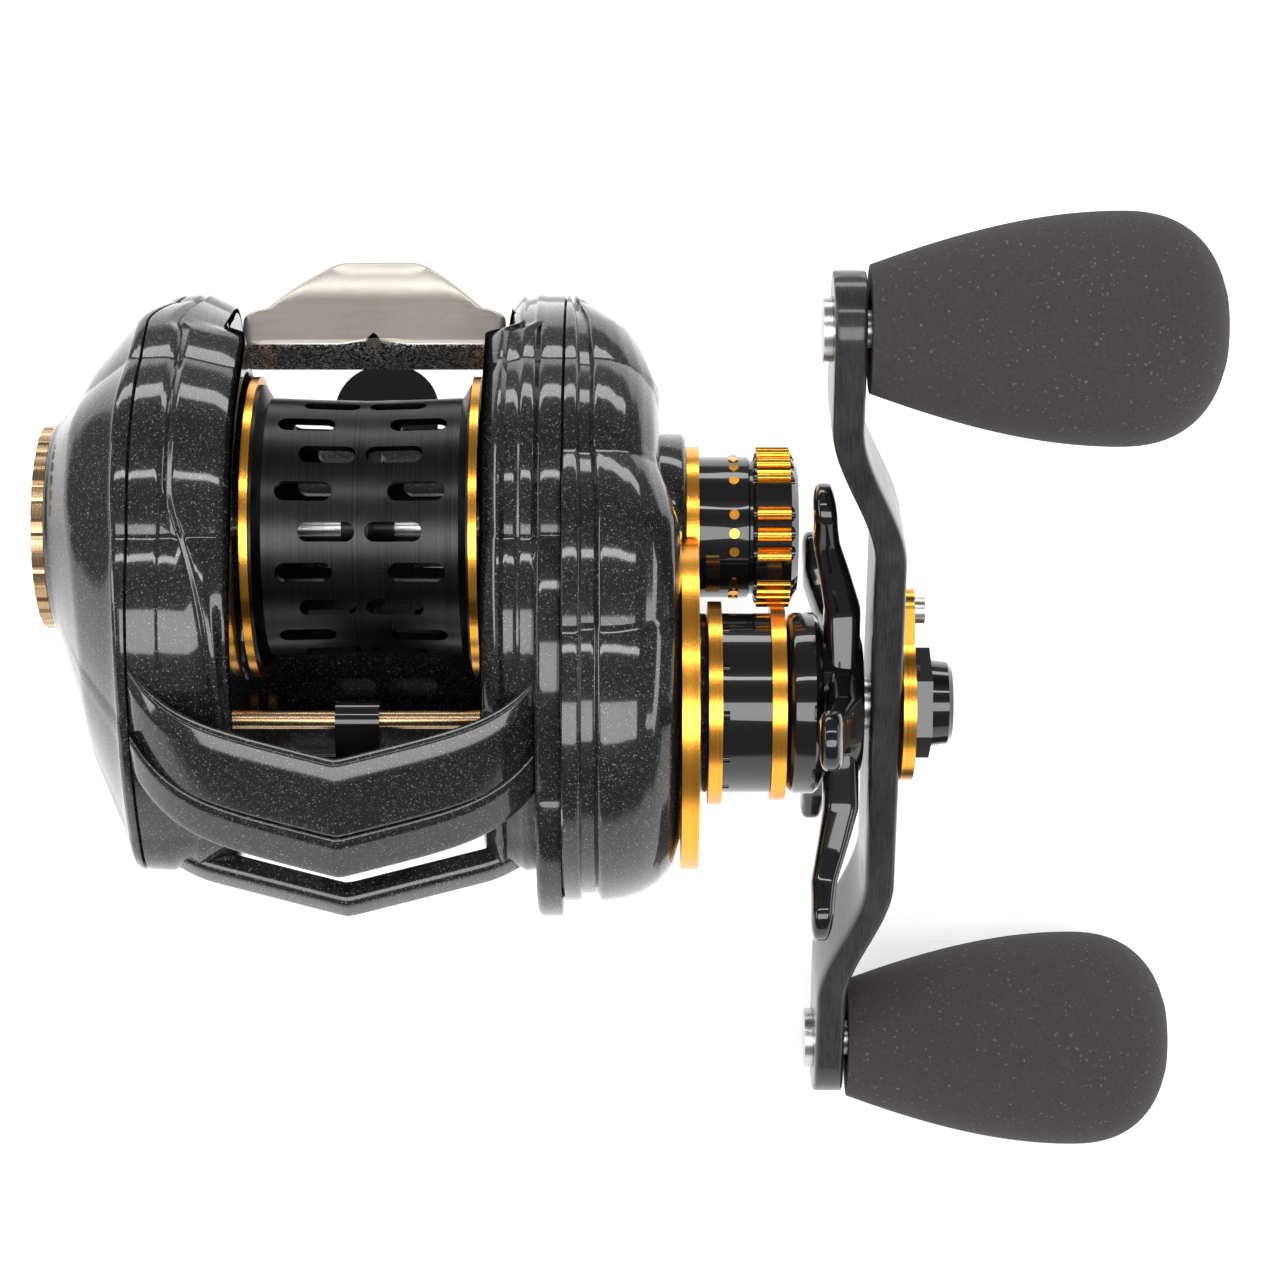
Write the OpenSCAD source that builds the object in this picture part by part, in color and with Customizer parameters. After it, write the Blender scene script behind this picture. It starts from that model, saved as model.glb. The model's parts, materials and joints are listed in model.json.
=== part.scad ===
// Low-profile baitcasting reel.
// X is the spool's axis, positive towards the handle. Y is positive towards the angler.
// Z is up. The origin is the middle of the foot's seat, under the spool's axis.

/* [Spool] */
// Diameter over the spool's flanges
spool_d = 34; // [28:0.5:41]
// Width over the spool's gold rims
spool_w = 25.8; // [21:0.1:31]
// Height of a flange above the barrel
flange_h = 2.4; // [1.5:0.1:4]
// Wall of the barrel
barrel_wall = 0.9; // [0.6:0.1:1.4]
// Slots round the barrel, half of them outer pairs and half inner pairs
slot_rows = 20; // [12:2:24]
// Diameter of the spool's shaft
spool_shaft_d = 2.5; // [2:0.1:2.6]

/* [Frame] */
// Thickness of the reel foot
foot_t = 1.8; // [1.4:0.1:2.6]
// Length of the reel foot
foot_len = 62; // [50:1:75]
// Width of the reel foot
foot_w = 12.5; // [10:0.5:15]
// Floor of the frame at its thinnest, under the spool
floor_t = 1.2; // [0.9:0.1:2.5]
// Space between the spool and the frame
spool_gap = 0.5; // [0.4:0.1:1.2]
// Height of the side rings above the spool's opening
ring_t = 3.5; // [2.5:0.1:5]
// Wall of the frame and of the side plates
wall_t = 2; // [1.5:0.1:2.4]
// Width of the frame's palm-side ring
palm_ring_w = 11; // [9:0.5:14]
// Depth of the gearbox that the frame holds
case_w = 8.9; // [8.6:0.1:10]

/* [Gears] */
// Module of the main gear and pinion
gear_module = 0.46; // [0.42:0.01:0.56]
// Teeth of the main gear
main_teeth = 80; // [72:1:90]
// Teeth of the pinion
pinion_teeth = 11; // [11:2:13]
// Face width of the main gear
gear_t = 3.6; // [3:0.1:4]
// Drop of the drive axis below the spool's axis
drive_drop = 1.5; // [0:0.1:3]
// Diameter of the drive shaft
drive_shaft_d = 6; // [5:0.1:6.6]

/* [Level wind] */
// Module of the level-wind gears
wind_module = 0.5; // [0.45:0.01:0.55]
// Teeth of the cog on the drive shaft
cog_teeth = 34; // [30:2:36]
// Teeth of the gear on the worm shaft
worm_teeth = 17; // [15:2:19]
// Travel of the line guide to each side
guide_travel = 9; // [5:0.5:9]
// Width of the line guide's eye
eye_w = 5.2; // [4.4:0.1:6]
// Diameter of the bronze guide rod
rod_d = 2; // [1.6:0.1:2.6]

/* [Clutch] */
// Travel of the thumb bar
thumb_travel = 6.5; // [5:0.1:6.6]
// Lift of the yoke and pinion when the clutch opens
yoke_lift = 1.6; // [1:0.1:1.8]

/* [Drag and cast control] */
// Reach of the star's arms from the drive axis
star_r = 26.5; // [22:0.5:29]
// Number of the star's arms
star_arms = 5; // [4:1:6]
// Diameter of the cast-control cap's grip
cap_d = 17.2; // [14:0.1:17.6]
// Diameter of the brake dial
dial_d = 22.8; // [18:0.2:24]

/* [Handle] */
// Distance between the two knobs' axes
handle_len = 90; // [80:1:110]
// Thickness of the handle arm
arm_t = 3.5; // [2.8:0.1:4.5]
// Width of the handle arm at the nut
arm_w = 15; // [13:0.5:18]
// Angle at which the handle rests, from the rear upwards
handle_angle = 51; // [0:1:360]

/* [Knobs] */
// Length of a knob
knob_len = 38; // [30:0.5:46]
// Largest diameter of a knob
knob_d = 24.8; // [20:0.2:30]
// Diameter of a knob at the arm
knob_neck_d = 13.6; // [12:0.1:15]
// Diameter of a knob's post
post_d = 4; // [3:0.1:4.6]

/* [Hidden] */
$fn = 96;

// Clearances: a seat, a running fit, and pieces that only pass each other
seat = 0.02;
run = 0.05;
pass = 0.4;

// Colours
black = "#1d1d20";
gloss = "#141416";
gold = "#d8861d";
bronze = "#a07a4a";
steel = "#b8babd";
brass = "#c9a24a";
bare = "#b7b0a4";
carbon = "#2a2a2c";
foam = "#4a4648";

// The spool's axis and the two ends of the spool
spool_r = spool_d / 2;
spool_half = spool_w / 2;
spool_z = foot_t + floor_t + spool_gap + spool_r;
spool_axis = [0, spool_z];
bay_r = spool_r + spool_gap;
ring_r = bay_r + ring_t;

// The drive axis, from the gear pair
gear_dist = gear_module * (main_teeth + pinion_teeth) / 2;
drive_axis = [-sqrt(pow(gear_dist, 2) - pow(drive_drop, 2)), spool_z - drive_drop];
mesh_angle = atan2(drive_drop, -drive_axis[0]);
main_r = gear_module * (main_teeth / 2 + 0.9);
case_gap = 0.7;
case_r = main_r + case_gap + wall_t + 0.5;

// The worm axis, from the level-wind pair
worm_angle = 240;
wind_dist = wind_module * (cog_teeth + worm_teeth) / 2;
worm_axis = drive_axis + wind_dist * [cos(worm_angle), sin(worm_angle)];
worm_r = 2.4;
worm_journal_r = 1.5;
bush_r = 3;

// The guide rod, above and ahead of the spool
rod_r = rod_d / 2;
rod_axis = [-(spool_r + 8.7), spool_z + 5.5];

// Stations along X
ring_x1 = -(spool_half + 0.6);
ring_x0 = ring_x1 - palm_ring_w;
wall_x0 = spool_half + 0.5;
wall_x1 = wall_x0 + wall_t;
case_x0 = wall_x0 + 5.9;
case_x1 = wall_x0 + case_w;
step_t = 1;
step = 0.3;
cam_x = wall_x0 + 4;
yoke_x = cam_x + 4.5;
gear_x = yoke_x + 1.2 + yoke_lift + 2.3;
plate_x1 = gear_x + 6;
gear_face_x = plate_x1 + 2.2;
collar_x = gear_face_x + 2.9;
stack_x = collar_x + 0.1;
star_x = stack_x + 8.7;
arm_x = star_x + 9;
arm_end_x = arm_x - 5;
nut_x = arm_x + arm_t + 0.1;
cap_x = plate_x1 + 4.2;

// The lobes of the side outlines: front, upper front and rear
front_c = worm_axis + [-1.3, 4];
front_r = 9;
brow_c = [-(spool_r + 7.5), spool_z + 4];
brow_r = 6;
rear_c = [spool_r + 2.8, spool_z + 0.5];
rear_r = 8.5;

// The hood and the lip, bent back from their middle
hood_x0 = ring_x0 + 0.2;
hood_x1 = case_x0 - 0.2;
hood_mid = (hood_x0 + hood_x1) / 2;
sweep = 15;
front_y = drive_axis[0] - case_r;
inner_y = front_y + 9.8;
brow_z = spool_z + 13;
window_z = spool_z + 2;
lip_z = spool_z - 8;

// The line guide's front, clear of the bent lip at the end of its travel
guide_half = 4.2;
guide_front = front_y + 4.1 + (guide_travel + guide_half - hood_mid) * tan(sweep);

// The thumb bar
thumb_y0 = spool_r + 3;
thumb_y1 = thumb_y0 + 11;
thumb_h = 6;
thumb_x0 = ring_x1 - 1.3;
thumb_x1 = wall_x0 + 1.9;
cam_pin = [thumb_y0 + 1.5, spool_z + 4];
cam_pin_r = 1.1;

// Bearings and bushes
small_bearing_r = 4.5;
drive_bearing_r = 5.5;
drive_r = drive_shaft_d / 2;
one_way_r = 8;
sleeve_r = drive_r + 1.2;
neck_r = 5.9;
journal_r = 2.4;

// The palm side plate is a dome that falls away from this middle
dome_y = -5;
dome_x = ring_x0 - 10.4;
dome_curve = 115;
hub_r = 5.5;

// The handle and the knobs
throw = handle_len / 2;
post_r = post_d / 2;
knob_x = arm_end_x + arm_t + 0.5;
knob_wall = 1.4;

// Puts a profile drawn in (Y, Z) along X
module along_x(x, len) {
  translate([x, 0, 0]) rotate([90, 0, 90]) linear_extrude(len) children();
}

// Turns a profile drawn as (radius, x) about an axis along X
module turned(axis, points) {
  translate([0, axis[0], axis[1]]) rotate([0, 90, 0]) rotate_extrude() polygon(points);
}

module rod_x(axis, x0, x1, r) {
  translate([x0, axis[0], axis[1]]) rotate([0, 90, 0]) cylinder(h = x1 - x0, r = r);
}

module tube_x(axis, x0, x1, r_out, r_in) {
  difference() {
    rod_x(axis, x0, x1, r_out);
    rod_x(axis, x0 - 1, x1 + 1, r_in);
  }
}

// Stands children drawn about the origin on an axis, turned about it
module on_axis(axis, angle = 0) {
  translate([0, axis[0], axis[1]]) rotate([angle, 0, 0]) children();
}

// The direction, from the middles of two circles, of the points that their outer tangent touches
function tangent(a, b) =
  atan2(b[1] - a[1], b[0] - a[0]) - acos((a[2] - b[2]) / norm([b[0] - a[0], b[1] - a[1]]));

// A belt round circles given in turn as (y, z, r), as points with an arc at each circle
function belt(c, inset) = [
  for (i = [0:len(c) - 1])
    let (
      q = c[i],
      first = tangent(c[(i + len(c) - 1) % len(c)], q),
      turn = ((tangent(q, c[(i + 1) % len(c)]) - first) % 360 + 360) % 360,
      last = first + turn,
      r = q[2] - inset,
      angles = concat(
        [first],
        [for (a = [5 * ceil((first + 0.5) / 5):5:last - 0.5]) a],
        turn > 1 ? [last] : []
      )
    )
    for (a = angles) [q[0] + r * cos(a), q[1] + r * sin(a)]
];

ring_c = [0, spool_z, ring_r];
rear_lobe = [rear_c[0], rear_c[1], rear_r];
brow_lobe = [brow_c[0], brow_c[1], brow_r];
front_lobe = [front_c[0], front_c[1], front_r];
low_r = case_r - 6.5;
low_lobe = [front_y + low_r, drive_axis[1] - case_r + low_r, low_r];
case_lobe = [drive_axis[0], drive_axis[1], case_r];

// Side outlines, moved inwards by inset: the frame and palm plate, the frame's gear case,
// and the handle side plate round the main gear
module palm_outline(inset) {
  polygon(belt([rear_lobe, ring_c, brow_lobe, front_lobe, ring_c], inset));
}

module case_outline(inset) {
  polygon(belt([rear_lobe, ring_c, low_lobe, ring_c], inset));
}

module gear_outline(inset) {
  polygon(belt([rear_lobe, ring_c, case_lobe], inset));
}

function involute(a) = tan(a) * 180 / PI - a;

// One tooth of a spur gear as points, with its flanks as involutes
function tooth(n, m, thin, middle) =
  let (
    rp = m * n / 2,
    rb = rp * cos(20),
    ra = rp + 0.85 * m,
    rf = rp - 1.15 * m,
    half = 90 / n - thin / rp * 90 / PI + involute(20),
    low = max(rb, rf + 0.01),
    radii = [for (i = [0:2]) low + (ra - low) * i / 2],
    angles = [for (r = radii) half - involute(acos(min(1, rb / r)))]
  )
  concat(
    [rf * [cos(middle - angles[0]), sin(middle - angles[0])]],
    [for (i = [0:2]) radii[i] * [cos(middle - angles[i]), sin(middle - angles[i])]],
    [for (i = [2:-1:0]) radii[i] * [cos(middle + angles[i]), sin(middle + angles[i])]],
    [rf * [cos(middle + angles[0]), sin(middle + angles[0])]]
  );

// A spur gear along X with a tooth towards the given angle
module spur(axis, x0, x1, n, m, thin, first) {
  points = [for (k = [0:n - 1]) each tooth(n, m, thin, first + k * 360 / n)];
  translate([x0, axis[0], axis[1]]) rotate([90, 0, 90]) linear_extrude(x1 - x0) polygon(points);
}

// The hood's or lip's section, bent back on both sides of the middle
module swept(section, x0, x1) {
  for (side = [-1, 1]) {
    intersection() {
      translate([hood_mid, front_y, 0]) rotate([0, 0, side * sweep])
        along_x(side < 0 ? -40 : -5, 45) polygon(section);
      translate([side < 0 ? x0 : hood_mid, -80, -20])
        cube([side < 0 ? hood_mid - x0 : x1 - hood_mid, 100, 80]);
    }
  }
}

lip_section = [[0, lip_z - 3], [0.5, lip_z], [3, lip_z], [3.6, lip_z - 3.5], [1.6, lip_z - 5]];
hood_section = [
  [9.8, brow_z], [7.2, brow_z - 0.9], [2.2, brow_z - 6.7], [0.3, window_z],
  [2.5, window_z], [4, brow_z - 7.5], [8.4, brow_z - 2.7], [9.8, brow_z - 2.1]
];

// Centres of the screws that hold the handle side plate
plate_screws = [rear_c + [1.5, -5], drive_axis + [-12.4, -14.9], spool_axis + [4.6, 17.2]];

module frame() {
  notch = [thumb_x1 - thumb_x0 + 0.8, 40, spool_r * 3];
  notch_z = spool_z - thumb_travel - pass;
  color(black) difference() {
    union() {
      difference() {
        union() {
          along_x(ring_x0, palm_ring_w) palm_outline(0);
          along_x(wall_x0, case_x0 - wall_x0) palm_outline(0);
          along_x(case_x0 - 0.1, case_x1 - case_x0 + 0.1) case_outline(step);
        }
        along_x(ring_x0 - 1, palm_ring_w - wall_t + 1) palm_outline(wall_t);
        along_x(wall_x1, case_x0 + step_t - wall_x1) palm_outline(wall_t);
        along_x(case_x0 + step_t - 0.3, case_x1) case_outline(wall_t + 0.5);
      }
      rod_x(spool_axis, ring_x0, ring_x1 - 0.5, bay_r + 1.6);
      for (x = [thumb_x0 - 0.4 - wall_t, thumb_x1 + 0.4]) {
        along_x(x, 1.2) intersection() {
          palm_outline(0.5);
          translate([spool_r, 0]) square(60);
        }
      }
      along_x(ring_x1 - 1, wall_x0 - ring_x1 + 2) translate([worm_axis[0] + 5, foot_t])
        square([spool_r + 2.2 - worm_axis[0], 3.4]);
      swept(lip_section, ring_x0 + 1, case_x0 + 0.2);
      rod_x(drive_axis, wall_x0, wall_x1 + 3, drive_bearing_r + 1.5);
      rod_x(spool_axis, wall_x0, wall_x1 + 1, small_bearing_r + 1.3);
      rod_x(worm_axis, ring_x1 - 5, ring_x1, bush_r + 1);
      rod_x(rod_axis, ring_x1 - 3.5, ring_x1, rod_r + 1.2);
      rod_x(rod_axis, wall_x0, wall_x0 + 3.5, rod_r + 1.2);
      for (p = plate_screws) {
        rod_x(p, case_x0 - 0.5, case_x1, 2);
      }
    }
    rod_x(spool_axis, ring_x0 - 1, wall_x0 - 0.01, bay_r);
    translate([thumb_x0 - 0.4, thumb_y0 - 0.6, notch_z]) cube(notch);
    rod_x(spool_axis, wall_x0 - 1, wall_x1 + 2, small_bearing_r + seat);
    rod_x(drive_axis, wall_x1, wall_x1 + 4, drive_bearing_r + seat);
    rod_x(worm_axis, ring_x1 - 4, ring_x1 + 1, bush_r + seat);
    rod_x(worm_axis, wall_x0 - 1, case_x0 + 1, bush_r + seat);
    rod_x(rod_axis, ring_x1 - 2.5, ring_x1 + 1, rod_r + seat);
    rod_x(rod_axis, wall_x0 - 1, wall_x0 + 2.5, rod_r + seat);
    for (s = [-1, 1]) {
      rod_x([2.5, spool_z + s * 10.5], wall_x1 - 1, wall_x1 + 1, 0.9 + seat);
    }
    for (p = plate_screws) {
      rod_x(p, case_x0 + 0.1, case_x1 + 1, 0.9 + seat);
    }
    for (y = rivet_places) {
      translate([0, y, 0]) cylinder(h = foot_t + 2.4, r = 1.2 + seat);
    }
    along_x(wall_x1, case_w) polygon(belt([
      [cam_pin[0], cam_pin[1], cam_pin_r + 0.3],
      [cam_pin[0], cam_pin[1] - thumb_travel, cam_pin_r + 0.3]
    ], 0));
  }
}

rivet_places = [-20, -13, 13, 20];

module reel_foot() {
  taper = 9;
  color(gloss) difference() {
    intersection() {
      linear_extrude(foot_t) {
        square([foot_w, foot_len - foot_w], center = true);
        for (s = [-1, 1]) {
          translate([0, s * (foot_len - foot_w) / 2]) circle(d = foot_w);
        }
      }
      along_x(-foot_w, 2 * foot_w) polygon([
        [-foot_len / 2, 0], [foot_len / 2, 0], [foot_len / 2, foot_t * 0.55],
        [foot_len / 2 - taper, foot_t], [taper - foot_len / 2, foot_t], [-foot_len / 2, foot_t * 0.55]
      ]);
    }
    for (y = rivet_places) {
      translate([0, y, -1]) cylinder(h = foot_t + 2, r = 1.2 + seat);
      translate([0, y, -1]) cylinder(h = 1.6, r = 2 + seat);
    }
  }
}

module foot_rivets() {
  color(steel) for (y = rivet_places) {
    translate([0, y, 0.05]) cylinder(h = foot_t + 2.3, r = 1.2);
    translate([0, y, 0.05]) cylinder(h = 0.5, r = 2);
  }
}

module front_cover() {
  back_y = inner_y + 6;
  color(black) difference() {
    union() {
      swept(hood_section, hood_x0, hood_x1);
      for (x = [hood_x0, hood_x1 - 1.4]) {
        along_x(x, 1.4) polygon([
          [back_y, brow_z - 0.6], [back_y - 2.6, brow_z - 1.6], [back_y - 7.6, brow_z - 7],
          [back_y - 9.2, window_z + 0.4], [back_y - 5, window_z + 0.4], [back_y, brow_z - 6]
        ]);
      }
    }
    along_x(hood_x0 - 1, hood_x1 - hood_x0 + 2) palm_outline(-0.1);
  }
}

module guide_rod() {
  color(bronze) rod_x(rod_axis, ring_x1 - 2.4, wall_x0 + 2.4, rod_r);
}

module worm_bushes() {
  color(brass) {
    tube_x(worm_axis, ring_x1 - 3.9, ring_x1 - 0.2, bush_r, worm_journal_r + run);
    tube_x(worm_axis, wall_x0 + 0.2, case_x0 + 0.3, bush_r, worm_journal_r + run);
  }
}

// Plan of the handle side plate, as (X, Y), with its rear corner cut away
function plate_plan(w) = [
  [case_x1 - 1, front_y - 1], [gear_face_x - w, front_y - 1], [gear_face_x - w, -6],
  [plate_x1 - w, -1], [plate_x1 - w, spool_r - 3], [plate_x1 - 2.2 - w, spool_r + 3.5],
  [case_x1 + 1.6 - w, rear_c[0] + rear_r], [case_x1 - 1, rear_c[0] + rear_r]
];

module plate_body(inset) {
  intersection() {
    along_x(case_x1, gear_face_x - case_x1 + 1) gear_outline(inset);
    translate([0, 0, -40]) linear_extrude(120) polygon(plate_plan(inset));
  }
}

module gear_side_plate() {
  color(black) difference() {
    union() {
      difference() {
        plate_body(0);
        translate([-0.01, 0, 0]) plate_body(wall_t);
      }
      rod_x(spool_axis, plate_x1 - 2.6, plate_x1 + 2.8, 10.5);
      rod_x(spool_axis, plate_x1 - 2.6, cap_x + 8, neck_r);
      rod_x(drive_axis, gear_face_x - wall_t, collar_x, one_way_r + 2);
      difference() {
        rod_x(drive_axis, gear_face_x - 1, gear_face_x + 1.2, 15.3);
        rod_x(spool_axis, gear_face_x - 1, gear_face_x + 2, 10.8);
      }
      for (p = plate_screws) {
        rod_x(p, case_x1 + 0.02, plate_x1 - 6, 2);
      }
    }
    rod_x(drive_axis, gear_x - 2.2, gear_face_x - wall_t, main_r + case_gap);
    rod_x(spool_axis, plate_x1 - 3, plate_x1 + 2.6, small_bearing_r + seat);
    rod_x(spool_axis, plate_x1, cap_x + 9, 3.2);
    rod_x(drive_axis, gear_face_x - 4, collar_x - 1, one_way_r + seat);
    rod_x(drive_axis, gear_face_x - 4, collar_x + 1, sleeve_r + 0.8);
    for (p = plate_screws) {
      rod_x(p, case_x1 - 1, plate_x1 + 4, 0.9 + seat);
      rod_x(p, plate_x1 - 8, plate_x1 + 4, 1.8 + seat);
    }
  }
}

module side_plate_screws() {
  color(steel) for (p = plate_screws) {
    rod_x(p, case_x0 + 0.3, plate_x1 - 7.9, 0.9);
    difference() {
      rod_x(p, plate_x1 - 7.98, plate_x1 - 6.4, 1.8);
      rod_x(p, plate_x1 - 7.2, plate_x1 - 6, 0.9, $fn = 6);
    }
  }
}

module trim_ring() {
  color(gold) difference() {
    tube_x(drive_axis, gear_face_x, gear_face_x + 1.9, case_r - 3.5, 15.3 + seat);
    rod_x(spool_axis, gear_face_x - 1, gear_face_x + 3, 10.8);
  }
}

// A ball bearing drawn as two rings and the balls' band between them
module bearing(axis, x0, w, r_out, r_in) {
  step = (r_out - r_in) / 3;
  difference() {
    tube_x(axis, x0, x0 + w, r_out, r_in);
    for (x = [x0 - 1, x0 + w - 0.25]) {
      tube_x(axis, x, x + 1.25, r_out - step, r_in + step);
    }
  }
}

module drive_bearing() {
  color(steel) bearing(drive_axis, wall_x1 + 0.05, 2.7, drive_bearing_r, 2.5 + run);
}

module one_way_bearing() {
  color(steel) bearing(drive_axis, collar_x - 5.3, 4.2, one_way_r, sleeve_r + run);
}

module spool_bearing() {
  color(steel) bearing(spool_axis, wall_x0 + 0.2, 2.5, small_bearing_r, spool_shaft_d / 2 + run);
}

module pinion_bearing() {
  color(steel) bearing(spool_axis, plate_x1 + 0.4, 2.1, small_bearing_r, journal_r + run);
}

module yoke_posts() {
  color(steel) for (s = [-1, 1]) {
    rod_x([2.5, spool_z + s * 10.5], wall_x1 - 0.9, plate_x1 - 2.7, 0.9);
  }
}

// The springs press the yoke back towards the spool
module yoke_springs() {
  x0 = yoke_x + 1.2 + yoke_lift + 0.3;
  turns = 4;
  pitch = (plate_x1 - 2.8 - x0) / turns;
  color(steel) for (s = [-1, 1]) {
    for (k = [0:turns - 1]) {
      tube_x([2.5, spool_z + s * 10.5], x0 + k * pitch, x0 + k * pitch + 0.5, 1.7, 0.9 + run);
    }
    tube_x([2.5, spool_z + s * 10.5], x0, x0 + turns * pitch, 1.3, 0.9 + run);
  }
}

// The dome of the palm plate: X falls away with the square of the radius
function dome(r, w) = dome_x + w + r * r / dome_curve;

module dome_cap(w) {
  points = [for (i = [0:14]) [i * 3.2, dome(i * 3.2, w)]];
  turned([dome_y, spool_z], concat(points, [[44.8, 0], [0, 0]]));
}

module palm_side_plate() {
  dial_x = dome_x + 1.3;
  lock_r = bay_r - 0.4;
  color(black) difference() {
    union() {
      difference() {
        intersection() {
          along_x(dome_x - 1, ring_x0 - dome_x + 1) palm_outline(0);
          dome_cap(0);
        }
        intersection() {
          along_x(dome_x - 1, ring_x0 - dome_x + 2) palm_outline(wall_t);
          dome_cap(wall_t);
        }
      }
      rod_x(spool_axis, dome_x + 0.4, ring_x0 - 1.4, hub_r);
      rod_x(spool_axis, dome_x + 0.4, dome_x + 3.4, dial_d / 2 + 1);
      tube_x(spool_axis, dome_x + 4, ring_x0 + 3, lock_r, lock_r - 1.4);
    }
    rod_x(spool_axis, dome_x - 2, dial_x, dial_d / 2 + run + 0.1);
    rod_x(spool_axis, ring_x0 - 4, ring_x0, small_bearing_r + seat);
    rod_x(spool_axis, dial_x + 2.2, ring_x0, spool_shaft_d / 2 + 0.4);
    rod_x(spool_axis, dial_x - 1, dial_x + 2.2, 2.5 + run);
  }
}

module palm_bearing() {
  color(steel) bearing(spool_axis, ring_x0 - 3.95, 2.5, small_bearing_r, spool_shaft_d / 2 + run);
}

module brake_dial() {
  x = dome_x + 1.25;
  color(gloss) difference() {
    union() {
      turned(spool_axis, [
        [0, x], [dial_d / 2 - 1.2, x], [dial_d / 2 - 1.2, x - 2.6],
        [dial_d / 2 - 2.6, x - 3], [0, x - 2.2]
      ]);
      rod_x(spool_axis, x - 0.2, x + 2, 2.5);
    }
    for (k = [0:2]) {
      on_axis(spool_axis, k * 120) translate([x - 4, 5.5, -1]) cube([2.2, 3.4, 2]);
    }
  }
}

module dial_rim() {
  x = dome_x + 1.25;
  color(bronze) difference() {
    tube_x(spool_axis, x - 2.8, x, dial_d / 2, dial_d / 2 - 1.2 + seat);
    for (k = [0:35]) {
      on_axis(spool_axis, k * 10) translate([x - 3, dial_d / 2 + 0.25, 0])
        rotate([0, 90, 0]) cylinder(h = 2.2, r = 0.5, $fn = 8);
    }
  }
}

// The carrier slides on the lock ring's inside and holds the brake's magnets
carrier_x = ring_x0 + 3.4;
magnet_ring_r = bay_r - 4.9;

module magnet_carrier() {
  color(black) difference() {
    tube_x(spool_axis, carrier_x, carrier_x + 2.2, bay_r - 2.4, spool_shaft_d / 2 + 1.5);
    for (k = [0:7]) {
      on_axis(spool_axis, k * 45) rod_x([magnet_ring_r, 0], carrier_x + 0.6, carrier_x + 3, 1.6 + seat);
    }
  }
}

module brake_magnets() {
  color(steel) for (k = [0:7]) {
    on_axis(spool_axis, k * 45) rod_x([magnet_ring_r, 0], carrier_x + 0.65, carrier_x + 2.4, 1.6);
  }
}

// A slot through the barrel with round ends
module barrel_slot(x, angle) {
  on_axis(spool_axis, angle) translate([x, 0, spool_r - flange_h - 3]) linear_extrude(6) {
    square([slot_len - 2.2, 2.2], center = true);
    for (s = [-1, 1]) {
      translate([s * (slot_len / 2 - 1.1), 0]) circle(r = 1.1);
    }
  }
}

slot_len = spool_w * 0.244;
rim_w = 0.9;
barrel_r = spool_r - flange_h;

module spool() {
  dip = 0.35;
  lip = spool_half - rim_w;
  color(gloss) difference() {
    turned(spool_axis, [
      [spool_shaft_d / 2 + seat, -3], [2.8, -3], [2.8, -0.7], [barrel_r - barrel_wall - dip, -0.7],
      [barrel_r - barrel_wall, 1 - lip], [barrel_r - barrel_wall, 0.1 - spool_half],
      [spool_r - rim_w, 0.1 - spool_half], [spool_r - rim_w, 0.3 - lip], [barrel_r, 1.2 - lip],
      [barrel_r - dip, 0], [barrel_r, lip - 1.2], [spool_r - rim_w, lip - 0.3],
      [spool_r - rim_w, spool_half - 0.1], [barrel_r - barrel_wall, spool_half - 0.1],
      [barrel_r - barrel_wall, lip - 1], [barrel_r - barrel_wall - dip, 0.7],
      [2.8, 0.7], [2.8, 3], [spool_shaft_d / 2 + seat, 3]
    ]);
    for (k = [0:slot_rows - 1]) {
      for (s = [-1, 1]) {
        barrel_slot(s * spool_w * (k % 2 == 0 ? 0.24 : 0.143), (k + 0.5) * 360 / slot_rows);
      }
    }
  }
}

module spool_rims() {
  color(gold) for (s = [-1, 1]) {
    x = s < 0 ? -spool_half : spool_half - rim_w;
    tube_x(spool_axis, x, x + rim_w, spool_r, spool_r - 0.9 + seat);
  }
}

module spool_shaft() {
  color(steel) difference() {
    rod_x(spool_axis, ring_x0 - 4.6, cap_x + 8.4, spool_shaft_d / 2);
    translate([wall_x1 + 1.6, 0, spool_z - 4]) cylinder(h = 8, r = 0.4 + seat / 2);
  }
}

module spool_pin() {
  color(steel) translate([wall_x1 + 1.6, 0, spool_z - 2.2]) cylinder(h = 4.4, r = 0.4);
}

// The pinion slides off the spool's pin when the clutch opens
module pinion() {
  x0 = wall_x1 + 1.1;
  color(brass) difference() {
    union() {
      rod_x(spool_axis, x0, yoke_x - 0.1, 3.6);
      rod_x(spool_axis, x0, plate_x1, 1.95);
      rod_x(spool_axis, yoke_x + 1.3, gear_x - yoke_lift - 0.3, 3.6);
      spur(spool_axis, gear_x - yoke_lift - 0.4, gear_x + gear_t + 0.3, pinion_teeth, gear_module,
           0.2, mesh_angle);
      rod_x(spool_axis, gear_x + gear_t + 0.2, plate_x1 + 3.6, journal_r);
    }
    rod_x(spool_axis, x0 - 1, plate_x1 + 5, spool_shaft_d / 2 + 0.15);
    translate([x0 - 1, -0.6, spool_z - 5]) cube([2, 1.2, 10]);
  }
}

module yoke() {
  color(steel) difference() {
    union() {
      along_x(yoke_x, 1.2) difference() {
        hull() {
          for (s = [-1, 1]) {
            translate([1.8, spool_z + s * 10.5]) circle(r = 2.4, $fn = 32);
          }
        }
        translate(spool_axis) circle(r = 2.4);
        translate([-10, spool_z - 2.3]) square([10, 4.6]);
      }
      for (s = [-1, 1]) {
        translate([cam_x + 1.4, -0.5, spool_z + s * 7.4 - 0.7])
          cube([yoke_x - cam_x - 1, 1, 1.4]);
      }
    }
    for (s = [-1, 1]) {
      rod_x([2.5, spool_z + s * 10.5], yoke_x - 1, yoke_x + 2, 0.9 + run);
    }
  }
}

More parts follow.
